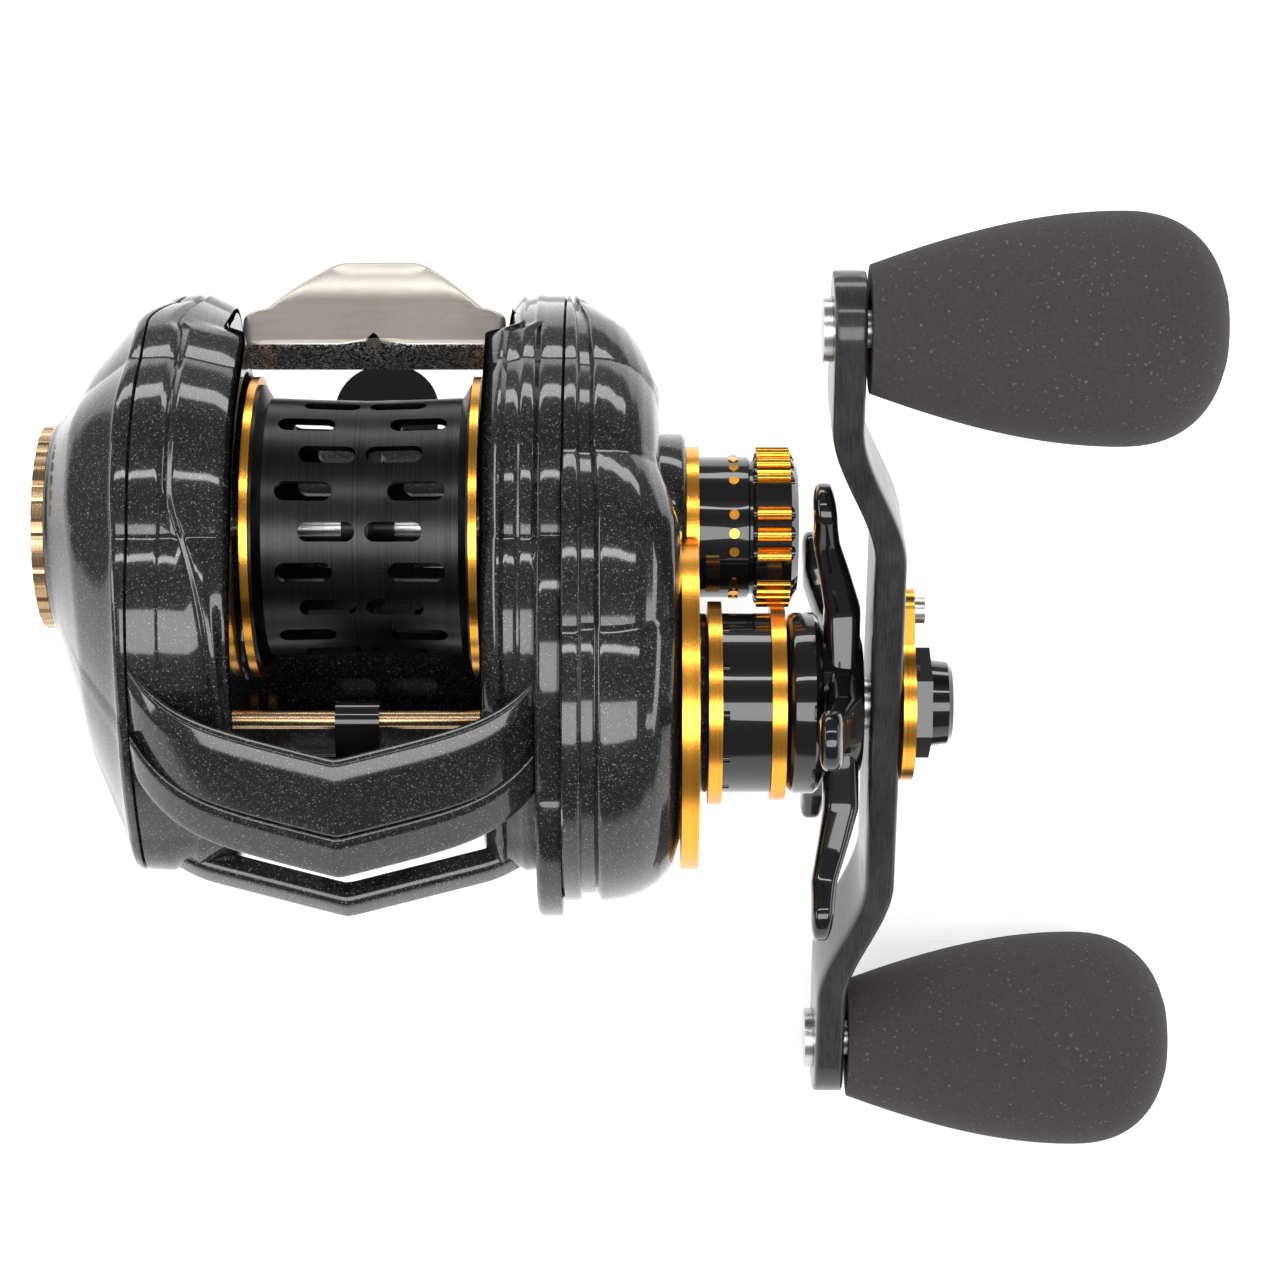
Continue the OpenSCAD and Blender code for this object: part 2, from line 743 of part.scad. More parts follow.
// Turns about the spool's axis, and its two ramps lift the yoke's pads
module clutch_cam() {
  slide = 7.4 * sin(cam_turn);
  ramp = [[-0.7, 0], [-0.5 - slide, yoke_lift], [-slide - 1.6, yoke_lift], [-slide - 1.6, 0]];
  pin_r = norm(cam_pin - spool_axis);
  color(brass) difference() {
    union() {
      tube_x(spool_axis, cam_x, cam_x + 1.2, 8.6, 5.8);
      on_axis(spool_axis, cam_rest) translate([cam_x, 7.5, -2]) cube([1.2, pin_r - 7.5, 4]);
      rod_x(cam_pin, cam_x, cam_x + 1.2, 2.2);
      for (a = [0, 180]) {
        on_axis(spool_axis, a) translate([cam_x + 1.1, 0, 6.8]) linear_extrude(1.2)
          polygon([for (p = ramp) [p[1] + (p[1] > 0 ? 0.1 : 0), p[0]]]);
      }
    }
    on_axis(spool_axis, cam_rest) {
      rod_x([pin_r, 0], cam_x - 1, cam_x + 2, cam_pin_r + 0.3);
      translate([cam_x - 1, pin_r - 2, -cam_pin_r - 0.3]) cube([3, 2, 2 * cam_pin_r + 0.6]);
    }
  }
}

cam_rest = atan2(cam_pin[1] - spool_z, cam_pin[0]);
cam_turn = cam_rest - atan2(cam_pin[1] - thumb_travel - spool_z, cam_pin[0]);

module thumb_bar() {
  x0 = thumb_x0;
  x1 = thumb_x1;
  y0 = thumb_y0;
  top = spool_z + thumb_h;
  color(bare) difference() {
    intersection() {
      along_x(x0, x1 - x0) polygon([
        [y0, spool_z], [y0, top - 0.5], [y0 + 0.5, top], [y0 + 7.5, top - 0.3],
        [thumb_y1, top - 2.6], [thumb_y1 - 0.6, top - 3.6], [y0 + 5, spool_z]
      ]);
      translate([0, 0, spool_z - 1]) linear_extrude(thumb_h + 2) polygon([
        [x0, y0 - 1], [x1, y0 - 1], [x1, y0 + 4.4], [x1 - 2.6, y0 + 5.2], [x1 - 8.5, y0 + 10.2],
        [x1 - 10.5, thumb_y1 + 1], [x0 + 11, thumb_y1 + 1], [x0 + 9, y0 + 10.2],
        [x0 + 2.4, y0 + 5], [x0, y0 + 4.4]
      ]);
    }
    translate([(x0 + x1) / 2, y0, spool_z]) rotate([0, 0, 45]) translate([-1.2, -1.2, 4])
      cube([2.4, 2.4, 9]);
    rod_x(cam_pin, x1 - 3, x1 + 1, cam_pin_r + seat);
  }
}

module thumb_bar_pin() {
  color(steel) rod_x(cam_pin, thumb_x1 - 2.95, cam_x + 1.2, cam_pin_r);
}

module worm_shaft() {
  x0 = ring_x1 - 0.1;
  x1 = wall_x0 + 0.1;
  pitch = 4;
  grooves = floor((x1 - x0 - 5) / pitch);
  color(steel) difference() {
    union() {
      rod_x(worm_axis, ring_x1 - 3.8, case_x0 + 2.9, worm_journal_r);
      rod_x(worm_axis, x0 + 0.2, x1 - 0.2, worm_r);
    }
    for (k = [0:grooves]) {
      tube_x(worm_axis, x0 + 2.5 + k * pitch, x0 + 3.4 + k * pitch, worm_r + 1, worm_r - 0.6);
    }
  }
}

cog_x = case_x0 + step_t + 0.2;

module worm_gear() {
  color(gloss) difference() {
    spur(worm_axis, cog_x, cog_x + 1.8, worm_teeth, wind_module, 0.14, worm_angle + 180 + 180 / worm_teeth);
    rod_x(worm_axis, cog_x - 1, cog_x + 3, worm_journal_r + seat);
  }
}

module line_guide() {
  front = guide_front;
  color(gloss) difference() {
    union() {
      along_x(-guide_half, 2 * guide_half) {
        translate(worm_axis) circle(r = worm_r + 1.2);
        polygon([
          worm_axis + [-2, -3], worm_axis + [1.5, 3.2], [front + 5.5, spool_z - 8],
          [front + 4.6, spool_z + 1.6], [front, spool_z + 1.2], [front, spool_z - 10]
        ]);
      }
      along_x(-2.4, 4.8) {
        translate(rod_axis) circle(r = rod_r + 1.1);
        polygon([
          rod_axis + [0.6, -rod_r - 1], rod_axis + [-0.6, rod_r + 0.9], [front + 0.4, spool_z + 2.4],
          [front + 0.4, spool_z + 0.6], [front + 4.4, spool_z + 0.8]
        ]);
      }
    }
    rod_x(worm_axis, -6, 6, worm_r + run);
    rod_x(rod_axis, -6, 6, rod_r + run);
    translate([-eye_w / 2 - 0.8, front - 3, spool_z - 8.8]) cube([eye_w + 1.6, 20, 9]);
    translate([0, worm_axis[0], -10]) cylinder(h = worm_axis[1] + 10 - worm_r, r = pawl_r + seat);
  }
}

pawl_r = 1.2;

module guide_insert() {
  front = guide_front;
  color(steel) difference() {
    translate([-eye_w / 2 - 0.75, front - 0.3, spool_z - 8.75])
      cube([eye_w + 1.5, 5, 8.9]);
    translate([-eye_w / 2, front - 3, spool_z - 8]) cube([eye_w, 20, 7.4]);
  }
}

// The pawl stands in the worm's groove and the cap holds it in the guide
module line_pawl() {
  color(brass) difference() {
    translate([0, worm_axis[0], worm_axis[1] - worm_r - 1.2]) cylinder(h = 1.1, r = pawl_r);
    rod_x(worm_axis, -6, 6, worm_r + run);
  }
}

module pawl_cap() {
  color(steel) translate([0, worm_axis[0], worm_axis[1] - worm_r - 1.25]) mirror([0, 0, 1])
    cylinder(h = 0.5, r = pawl_r);
}

module drive_shaft() {
  color(steel) difference() {
    union() {
      rod_x(drive_axis, wall_x1 + 0.1, cog_x, 2.5);
      rod_x(drive_axis, cog_x - 0.4, nut_x + 2.4, drive_r);
      rod_x(drive_axis, gear_x - 1.4, gear_x - 0.1, 9);
    }
    rod_x(drive_axis, wall_x1, wall_x1 + 1, 0.8);
  }
}

module main_gear() {
  color(brass) difference() {
    spur(drive_axis, gear_x, gear_x + gear_t, main_teeth, gear_module, 0.16, mesh_angle);
    rod_x(drive_axis, gear_x - 1, gear_x + 9, drive_r + seat);
    rod_x(drive_axis, gear_x + gear_t / 2, gear_x + 9, 13.8);
  }
}

module drag_washers() {
  w = (gear_t / 2 - 0.1) / 2;
  color(carbon) for (k = [0, 1]) {
    tube_x(drive_axis, gear_x + gear_t / 2 + 0.02 + k * w, gear_x + gear_t / 2 + w * (k + 0.94),
           13.5, drive_r + 1);
  }
}

module pressure_plate() {
  x = gear_x + gear_t + 0.05;
  color(steel) difference() {
    union() {
      tube_x(drive_axis, x, x + 0.9, 13.4, drive_r + seat);
      tube_x(drive_axis, x, x + 1.3, 6, drive_r + seat);
    }
    for (a = [0, 180]) {
      on_axis(drive_axis, a) rod_x([9.5, 0], x - 1, x + 2, 1.2);
    }
  }
}

module ratchet() {
  teeth = 10;
  x = cog_x + 2.2;
  color(steel) difference() {
    along_x(x, 1) translate(drive_axis) difference() {
      circle(r = 8.6);
      for (k = [0:teeth - 1]) {
        rotate(k * 360 / teeth) translate([7, 0]) rotate(25) square([3, 1.6]);
      }
    }
    rod_x(drive_axis, x - 1, x + 2, drive_r + seat);
  }
}

module level_wind_cog() {
  color(gloss) difference() {
    spur(drive_axis, cog_x, cog_x + 1.8, cog_teeth, wind_module, 0.14, worm_angle);
    rod_x(drive_axis, cog_x - 1, cog_x + 3, drive_r + seat);
    for (k = [0:5]) {
      on_axis(drive_axis, k * 60) rod_x([5.4, 0], cog_x - 1, cog_x + 3, 1.3);
    }
  }
}

module one_way_sleeve() {
  color(steel) tube_x(drive_axis, gear_x + gear_t + 1.5, collar_x, sleeve_r, drive_r + seat);
}

module drag_rings() {
  color(gold) {
    tube_x(drive_axis, stack_x, stack_x + 1.5, 11.3, drive_r + seat);
    tube_x(drive_axis, stack_x + 6.9, stack_x + 8.5, 10.8, drive_r + seat);
  }
}

module drag_barrel() {
  color(gloss) difference() {
    rod_x(drive_axis, stack_x + 1.52, stack_x + 6.85, 10);
    rod_x(drive_axis, stack_x, stack_x + 5.6, 7.5);
    rod_x(drive_axis, stack_x, stack_x + 8, drive_r + seat);
    for (k = [0:11]) {
      on_axis(drive_axis, k * 30) rod_x([10, 0], stack_x + 1, stack_x + 2.3, 0.5);
    }
  }
}

// Cupped washers, in pairs back to back
module spring_washers() {
  color(steel) for (k = [0, 1]) {
    x = stack_x + 1.6 + k * 2;
    turned(drive_axis, [
      [drive_r + 0.1, x], [7.2, x + 0.9], [7.2, x + 1], [drive_r + 0.1, x + 1.9],
      [drive_r + 0.1, x + 1.3], [6, x + 0.95], [drive_r + 0.1, x + 0.6]
    ]);
  }
}

// One arm of the star: its plan along X crossed with its bent side
module star_arm() {
  tip = star_r - 3.2;
  intersection() {
    along_x(star_x - 2, 12) {
      polygon([[6, -4.6], [12, -2.7], [tip - 3, -2], [tip, -3.2], [tip, 3.2], [tip - 3, 2], [12, 2.7], [6, 4.6]]);
      translate([tip, 0]) circle(r = 3.2);
    }
    translate([0, 0, -8]) linear_extrude(16) polygon([
      [star_x + 4, 0], [star_x + 4, 13], [star_x + 2.6, tip - 5], [star_x + 2.2, star_r + 1],
      [star_x + 5, star_r + 1], [star_x + 5.6, tip - 5], [star_x + 8.2, 13], [star_x + 8.2, 0]
    ]);
  }
}

module star_drag() {
  color(gloss) difference() {
    union() {
      rod_x(drive_axis, star_x, star_x + 3.8, 10);
      rod_x(drive_axis, star_x + 3, star_x + 8.4, 8);
      for (k = [0:star_arms - 1]) {
        on_axis(drive_axis, 49.7 + k * 360 / star_arms) star_arm();
      }
    }
    rod_x(drive_axis, star_x - 1, star_x + 10, drive_r + run);
  }
}

module cast_control_cap() {
  cap_r = cap_d / 2;
  x = cap_x;
  color(gloss) difference() {
    turned(spool_axis, [
      [neck_r + run, x + 0.1], [cap_r - 0.6, x + 0.1], [cap_r - 0.6, x + 5.6], [cap_r - 1, x + 5.8],
      [cap_r - 1, x + 6.1], [cap_r, x + 6.4], [cap_r, x + 10.4], [cap_r - 1.4, x + 11.2],
      [0, x + 11.2], [0, x + 9.6], [neck_r + run, x + 9.2]
    ]);
    for (k = cap_marks) {
      on_axis(spool_axis, k) {
        rod_x([cap_r + 0.1, 0], x + 6, x + 11.6, 0.85);
        translate([x + 4, cap_r - 1.1, 0]) rotate([-90, 0, 0]) cylinder(h = 3, r = 0.55 + seat);
      }
    }
  }
}

// Three marks 15 degrees apart in each sixth of a turn
cap_marks = [for (g = [0:5]) for (m = [-1:1]) g * 60 + m * 15];

module cap_trim() {
  cap_r = cap_d / 2;
  x = cap_x;
  color(bronze) tube_x(spool_axis, plate_x1 + 2.9, cap_x + 0.08, 9.1, neck_r + run);
  color(gold) for (k = cap_marks) {
    on_axis(spool_axis, k) {
      difference() {
        rod_x([cap_r + 0.05, 0], x + 6.6, x + 10.3, 0.8);
        rod_x([cap_r + 0.9, 0], x + 6, x + 11, 0.8);
      }
      translate([x + 4, cap_r - 1.05, 0]) rotate([-90, 0, 0]) cylinder(h = 0.6, r = 0.55);
    }
  }
}

module cap_shim() {
  color(brass) rod_x(spool_axis, cap_x + 8.5, cap_x + 9.1, 2.4);
}

// The arm's side, bent twice between the nut and each knob
function arm_side(x) = [
  [x + 5, 0], [x + 5, 22], [x, 34], [x, throw + 20], [x + arm_t, throw + 20],
  [x + arm_t, 34.6], [x + 5 + arm_t, 22.6], [x + 5 + arm_t, 0]
];

module handle_arm() {
  end_r = 6.2;
  color(carbon) on_axis(drive_axis, handle_angle) difference() {
    for (a = [0, 180]) {
      rotate([a, 0, 0]) intersection() {
        along_x(arm_end_x - 1, arm_t + 8) polygon(belt([[0, 0, arm_w / 2], [throw, 0, end_r]], 0));
        translate([0, 0, -30]) linear_extrude(60) polygon(arm_side(arm_end_x));
      }
    }
    rod_x([0, 0], arm_end_x - 1, arm_x + 9, drive_r + seat);
    for (s = [-1, 1]) {
      rod_x([s * throw, 0], arm_end_x - 1, arm_x + 9, post_r + seat);
    }
    rod_x(retainer_at, arm_x - 1, arm_x + 9, 0.8 + seat);
  }
}

retainer_at = [10.6, -2];

module handle_nut() {
  color(gloss) difference() {
    union() {
      rod_x(drive_axis, nut_x, nut_x + 3.4, 6.2, $fn = 6);
      turned(drive_axis, [[0, nut_x + 3], [4.9, nut_x + 3], [4.6, nut_x + 5.3], [4, nut_x + 5.8], [0, nut_x + 5.8]]);
    }
    rod_x(drive_axis, nut_x - 1, nut_x + 2.6, drive_r + seat);
  }
}

module nut_retainer() {
  color(gold) difference() {
    on_axis(drive_axis, handle_angle) along_x(nut_x, 1.4) {
      circle(r = 8.6);
      polygon(belt([[0, 0, 6], [retainer_at[0], retainer_at[1], 2.4]], 0));
    }
    rod_x(drive_axis, nut_x - 1, nut_x + 3, 6.35, $fn = 6);
    on_axis(drive_axis, handle_angle) rod_x(retainer_at, nut_x - 1, nut_x + 3, 0.8 + seat);
  }
}

module retainer_screw() {
  color(steel) on_axis(drive_axis, handle_angle) difference() {
    union() {
      rod_x(retainer_at, nut_x - 3, nut_x + 1.42, 0.8);
      rod_x(retainer_at, nut_x + 1.41, nut_x + 2.6, 1.5);
    }
    rod_x(retainer_at, nut_x + 2, nut_x + 4, 0.7, $fn = 6);
  }
}

module knob_posts() {
  color(steel) on_axis(drive_axis, handle_angle) for (s = [-1, 1]) {
    rod_x([s * throw, 0], arm_end_x - 0.9, knob_x + knob_len - 4, post_r);
    rod_x([s * throw, 0], arm_end_x - 0.95, arm_end_x - 0.02, post_r + 1.45);
  }
}

bearing_at = [2, knob_len - 8];
knob_bore_r = post_r + 1.6;

module knob_bearings() {
  color(steel) on_axis(drive_axis, handle_angle) for (s = [-1, 1]) {
    for (x = bearing_at) {
      translate([knob_x, 0, 0]) bearing([s * throw, 0], x, 2.4, knob_bore_r, post_r + seat);
    }
  }
}

// The knob swells along a curve to its widest point, then closes as a rounded nose
knob_peak = 0.7 * knob_len;
function swell(t) = [
  knob_neck_d / 2 * (pow(1 - t, 3) + 3 * t * pow(1 - t, 2) * 1.42)
    + knob_d / 2 * (3 * t * t * (1 - t) + pow(t, 3)),
  knob_peak * (0.9 * t * pow(1 - t, 2) + 1.93 * t * t * (1 - t) + pow(t, 3))
];
function nose(t) = [
  knob_d / 2 * pow(1 - pow(t, 2.4), 1 / 2.4),
  knob_peak + (knob_len - knob_peak) * t
];

module knob(s) {
  outline = concat(
    [for (i = [0:8]) swell(i / 8)],
    [for (t = [0.25, 0.5, 0.7, 0.85, 0.94, 0.985]) nose(t)]
  );
  end_x = knob_x + knob_len;
  color(foam) on_axis(drive_axis, handle_angle) difference() {
    translate([knob_x, 0, 0]) turned([s * throw, 0], concat([[0, 0]], outline, [[0, knob_len * 0.995]]));
    rod_x([s * throw, 0], knob_x - 1, end_x - 3, knob_bore_r + run);
    rod_x([s * throw, 0], end_x - 2.6, end_x + 1, cap_hole_r);
  }
}

cap_hole_r = 4.4;

module rear_knob() {
  knob(1);
}

module front_knob() {
  knob(-1);
}

module knob_cap(s) {
  end_x = knob_x + knob_len;
  color(bronze) on_axis(drive_axis, handle_angle)
    rod_x([s * throw, 0], end_x - 2.5, end_x, cap_hole_r - seat);
}

module rear_knob_cap() {
  knob_cap(1);
}

module front_knob_cap() {
  knob_cap(-1);
}

frame();
reel_foot();
foot_rivets();
front_cover();
guide_rod();
worm_bushes();
gear_side_plate();
side_plate_screws();
trim_ring();
drive_bearing();
one_way_bearing();
spool_bearing();
pinion_bearing();
yoke_posts();
yoke_springs();
palm_side_plate();
palm_bearing();
brake_dial();
dial_rim();
magnet_carrier();
brake_magnets();
spool();
spool_rims();
spool_shaft();
spool_pin();
pinion();
yoke();
clutch_cam();
thumb_bar();
thumb_bar_pin();
worm_shaft();
worm_gear();
line_guide();
guide_insert();
line_pawl();
pawl_cap();
drive_shaft();
main_gear();
drag_washers();
pressure_plate();
ratchet();
level_wind_cog();
one_way_sleeve();
drag_rings();
drag_barrel();
spring_washers();
star_drag();
cast_control_cap();
cap_trim();
cap_shim();
handle_arm();
handle_nut();
nut_retainer();
retainer_screw();
knob_posts();
knob_bearings();
rear_knob();
front_knob();
rear_knob_cap();
front_knob_cap();
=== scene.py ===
# A low-profile baitcasting reel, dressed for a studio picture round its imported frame.
# Lengths are in metres. X is the spool's axis towards the handle, Y points to the angler, Z is up.
import json

import bmesh
import bpy
import numpy as np
from math import cos, pi, radians, sin, tan
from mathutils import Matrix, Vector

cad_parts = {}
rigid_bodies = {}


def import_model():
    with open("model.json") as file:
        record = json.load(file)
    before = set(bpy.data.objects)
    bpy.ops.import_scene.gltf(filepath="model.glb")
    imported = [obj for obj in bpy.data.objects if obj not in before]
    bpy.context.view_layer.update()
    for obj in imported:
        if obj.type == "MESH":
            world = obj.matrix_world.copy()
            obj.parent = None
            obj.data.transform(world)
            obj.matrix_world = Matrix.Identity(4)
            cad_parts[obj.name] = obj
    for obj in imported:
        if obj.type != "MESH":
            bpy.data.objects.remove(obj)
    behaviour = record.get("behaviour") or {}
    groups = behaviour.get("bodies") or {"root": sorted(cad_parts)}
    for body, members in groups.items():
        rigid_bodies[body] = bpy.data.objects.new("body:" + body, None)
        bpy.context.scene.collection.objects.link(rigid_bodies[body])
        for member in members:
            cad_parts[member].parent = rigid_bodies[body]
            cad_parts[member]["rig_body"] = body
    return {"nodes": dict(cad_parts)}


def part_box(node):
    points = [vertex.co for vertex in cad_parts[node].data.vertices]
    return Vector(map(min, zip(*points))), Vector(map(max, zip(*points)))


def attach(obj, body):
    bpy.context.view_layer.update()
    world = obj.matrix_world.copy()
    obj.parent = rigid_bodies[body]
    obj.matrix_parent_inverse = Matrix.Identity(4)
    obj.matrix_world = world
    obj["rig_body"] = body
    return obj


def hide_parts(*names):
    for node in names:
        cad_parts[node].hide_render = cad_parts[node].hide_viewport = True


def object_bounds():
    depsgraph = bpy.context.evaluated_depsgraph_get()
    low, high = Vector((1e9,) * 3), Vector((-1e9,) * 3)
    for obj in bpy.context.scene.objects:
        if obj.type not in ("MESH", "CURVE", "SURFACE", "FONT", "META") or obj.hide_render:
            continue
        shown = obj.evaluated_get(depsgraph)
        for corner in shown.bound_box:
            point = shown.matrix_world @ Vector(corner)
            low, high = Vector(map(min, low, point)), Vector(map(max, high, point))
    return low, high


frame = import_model()
cad_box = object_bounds()
mm = 0.001

# ---------------------------------------------------------------- camera
# A long lens looks down on the reel from behind the front, 67 degrees above the table,
# with the crank on the right and the top of the picture towards the angler.
view_tilt = radians(23)
view_distance = 390 * mm
look_at = np.array([30.7, -11.8, 15.5]) * mm

lens = bpy.data.cameras.new("studio_camera")
lens.sensor_width = 36
lens.lens = 96.7
lens.clip_start = 10 * mm
camera = bpy.data.objects.new("studio_camera", lens)
camera.location = look_at + view_distance * np.array([0, -sin(view_tilt), cos(view_tilt)])
camera.rotation_euler = (view_tilt, 0, 0)
bpy.context.scene.collection.objects.link(camera)
bpy.context.scene.camera = camera
bpy.context.scene.view_settings.view_transform = "Standard"


# ---------------------------------------------------------------- table and lights
# A matt white table top under large softboxes: one overhead in front, a narrow strip overhead,
# one behind and one on each side, with an even surround.
class Field:
    """A socket whose value varies over a surface. Arithmetic on it adds Math nodes."""

    def __init__(self, finish, socket):
        self.finish = finish
        self.socket = socket

    def maths(self, operation, *values):
        return self.finish.node("ShaderNodeMath", {"operation": operation}, dict(enumerate(values)))

    def __add__(self, other):
        return self.maths("ADD", self, other)

    def __sub__(self, other):
        return self.maths("SUBTRACT", self, other)

    def __rsub__(self, other):
        return self.maths("SUBTRACT", other, self)

    def __mul__(self, other):
        return self.maths("MULTIPLY", self, other)

    def __pow__(self, other):
        return self.maths("POWER", self, other)

    __radd__ = __add__
    __rmul__ = __mul__


class Finish:
    """A material built round one shader: constants go on its sockets, fields are linked to them."""

    def __init__(self, name, constants):
        self.material = bpy.data.materials.new(name)
        self.material.use_nodes = True
        self.tree = self.material.node_tree
        self.shader = self.tree.nodes["Principled BSDF"]
        for socket, value in constants.items():
            self.shader.inputs[socket].default_value = value

    def node(self, kind, settings, inputs, output=0):
        """Adds a node: its settings first, a ramp's stops among them, then its sockets' values or links."""
        made = self.tree.nodes.new(kind)
        for name, value in settings.items():
            if name == "stops":
                ramp = made.color_ramp.elements
                while len(ramp) < len(value):
                    ramp.new(0.5)
                for element, (place, colour) in zip(ramp, value):
                    element.position = place
                    element.color = colour
            else:
                setattr(made, name, value)
        for socket, value in inputs.items():
            if isinstance(value, Field):
                self.tree.links.new(value.socket, made.inputs[socket])
            else:
                made.inputs[socket].default_value = value
        return Field(self, made.outputs[output])

    def place(self, scale=(1, 1, 1), turn=(0, 0, 0), centre=(0, 0, 0)):
        """Object coordinates, moved so that centre is the origin, then turned and stretched."""
        point = self.node("ShaderNodeTexCoord", {}, {}, "Object")
        moved = self.node("ShaderNodeVectorMath", {"operation": "SUBTRACT"}, {0: point, 1: centre})
        return self.node("ShaderNodeMapping", {}, {"Vector": moved, "Rotation": turn, "Scale": scale})

    def noise(self, vector, size, detail=3, rough=0.55):
        """Smooth random values with features of the given size."""
        return self.node(
            "ShaderNodeTexNoise", {},
            {"Vector": vector, "Scale": 1 / size, "Detail": detail, "Roughness": rough}, 0)

    def cells(self, vector, size):
        """One random value for each cell of the given size."""
        colour = self.node("ShaderNodeTexVoronoi", {}, {"Vector": vector, "Scale": 1 / size}, "Color")
        return self.node("ShaderNodeSeparateColor", {}, {"Color": colour}, 0)

    def steps(self, value, low, high):
        """0 below low and 1 above high, straight between."""
        return self.node(
            "ShaderNodeMapRange", {},
            {"Value": value, "From Min": low, "From Max": high, "To Min": 0.0, "To Max": 1.0}, 0)

    def blend(self, share, first, second):
        """A colour between two colours."""
        return self.node(
            "ShaderNodeMix", {"data_type": "RGBA"}, {0: share, 6: opaque(first), 7: opaque(second)}, 2)

    def feed(self, **fields):
        """Links fields to the shader's sockets, which are named with underscores for spaces."""
        for name, field in fields.items():
            socket = " ".join(word.capitalize() for word in name.split("_"))
            self.tree.links.new(field.socket, self.shader.inputs[socket])

    def relief(self, height, depth):
        """Bumps the surface by a height from 0 to 1, which stands for a depth in metres."""
        bump = self.node("ShaderNodeBump", {}, {"Height": height, "Distance": depth, "Strength": 1.0}, 0)
        self.feed(normal=bump)


def opaque(colour):
    """A colour triple with full alpha, or the field itself."""
    return colour if isinstance(colour, Field) else (*colour, 1)


def link(name, mesh):
    """Puts a mesh into the scene as an object at the origin."""
    piece = bpy.data.objects.new(name, mesh)
    bpy.context.scene.collection.objects.link(piece)
    return piece


def table_white():
    finish = Finish("table_white", {"Roughness": 0.8, "Specular IOR Level": 0.1, "Emission Strength": 0.30,
                                     "Emission Color": (1, 1, 1, 1)})
    grain = finish.noise(finish.place(), 2 * mm)
    finish.feed(base_color=finish.blend(grain, (0.86, 0.86, 0.85), (0.90, 0.90, 0.89)))
    finish.relief(grain, 0.02 * mm)
    return finish.material


table_z = cad_box[0][2] - 0.1 * mm
reach = 3.0
corners = [(x, y, table_z) for x, y in ((-reach, -reach), (reach, -reach), (reach, reach), (-reach, reach))]
table_mesh = bpy.data.meshes.new("table")
table_mesh.from_pydata(corners, [], [(0, 1, 2, 3)])
table = link("table", table_mesh)
table.data.materials.append(table_white())


def softbox(name, place, turn, size, power):
    """A rectangular light of the given size, at a place in metres and turned in degrees."""
    light = bpy.data.lights.new(name, "AREA")
    light.shape = "RECTANGLE"
    light.size, light.size_y = size
    light.energy = power
    box = bpy.data.objects.new(name, light)
    box.location = place
    box.rotation_euler = [radians(a) for a in turn]
    bpy.context.scene.collection.objects.link(box)


softbox("overhead_light", (0.05, -0.42, 0.62), (35, 0, 0), (0.9, 0.30), 5.0)
softbox("overhead_strip", (0.03, 0.10, 0.80), (-7, 0, 0), (1.0, 0.06), 1.9)
softbox("back_light", (0.0, 0.75, 0.34), (-66, 0, 0), (1.2, 0.16), 3.6)
softbox("left_light", (-0.70, 0.0, 0.38), (0, -62, 0), (0.16, 0.8), 2.6)
softbox("right_light", (0.75, 0.0, 0.38), (0, 62, 0), (0.16, 0.8), 2.2)
surround = bpy.data.worlds.new("pale_surround")
surround.use_nodes = True
surround.node_tree.nodes["Background"].inputs["Color"].default_value = (0.93, 0.95, 1, 1)
surround.node_tree.nodes["Background"].inputs["Strength"].default_value = 0.22
bpy.context.scene.world = surround


# ---------------------------------------------------------------- shells
# The frame and both side plates are cast aluminium, painted charcoal with a fine bright flake
# and cleared to a deep gloss. Skins of the same paint round the castings' edges.
def dress(material, *names):
    """Gives CAD nodes their finish."""
    for name in names:
        node = frame["nodes"][name]
        node.data.materials.clear()
        node.data.materials.append(material)


def eased(name, radius, finish):
    """A CAD node as cast or machined: its loose triangles are joined, flat stretches are cleared of
    inner edges, and its edges are rounded by the radius."""
    node = frame["nodes"][name]
    mesh = node.data.copy()
    mesh.materials.clear()
    mesh.materials.append(finish)
    shell = bmesh.new()
    shell.from_mesh(mesh)
    bmesh.ops.remove_doubles(shell, verts=shell.verts, dist=0.002 * mm)
    bmesh.ops.dissolve_limit(shell, angle_limit=radians(0.6), verts=shell.verts, edges=shell.edges)
    shell.to_mesh(mesh)
    shell.free()
    for attribute in [a.name for a in mesh.attributes if a.name == "custom_normal"]:
        mesh.attributes.remove(mesh.attributes[attribute])
    mesh.shade_smooth()
    piece = link("eased_" + name, mesh)
    rounding = piece.modifiers.new("rounding", "BEVEL")
    rounding.width = radius
    rounding.segments = 2
    rounding.limit_method = "ANGLE"
    rounding.angle_limit = radians(28)
    rounding.use_clamp_overlap = True
    rounding.harden_normals = False
    mesh.set_sharp_from_angle(angle=radians(40))
    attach(piece, node["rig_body"])
    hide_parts(name)
    return piece


def flake_paint():
    finish = Finish("flake_paint", {"Coat Weight": 1.0, "Coat Roughness": 0.075, "Specular IOR Level": 0.12,
                                    "Metallic": 0.0})
    place = finish.place()
    spark = finish.cells(place, 0.11 * mm)
    fine = finish.cells(place, 0.07 * mm)
    cloud = finish.noise(place, 9 * mm)
    bright = spark ** 34 + 0.5 * fine ** 30
    ground = finish.blend(cloud, (0.0035, 0.0035, 0.004), (0.0075, 0.0075, 0.0085))
    finish.feed(
        base_color=finish.blend(bright, ground, (0.22, 0.215, 0.20)),
        roughness=0.40 - 0.12 * spark)
    finish.relief(finish.noise(place, 1.6 * mm), 0.004 * mm)
    return finish.material


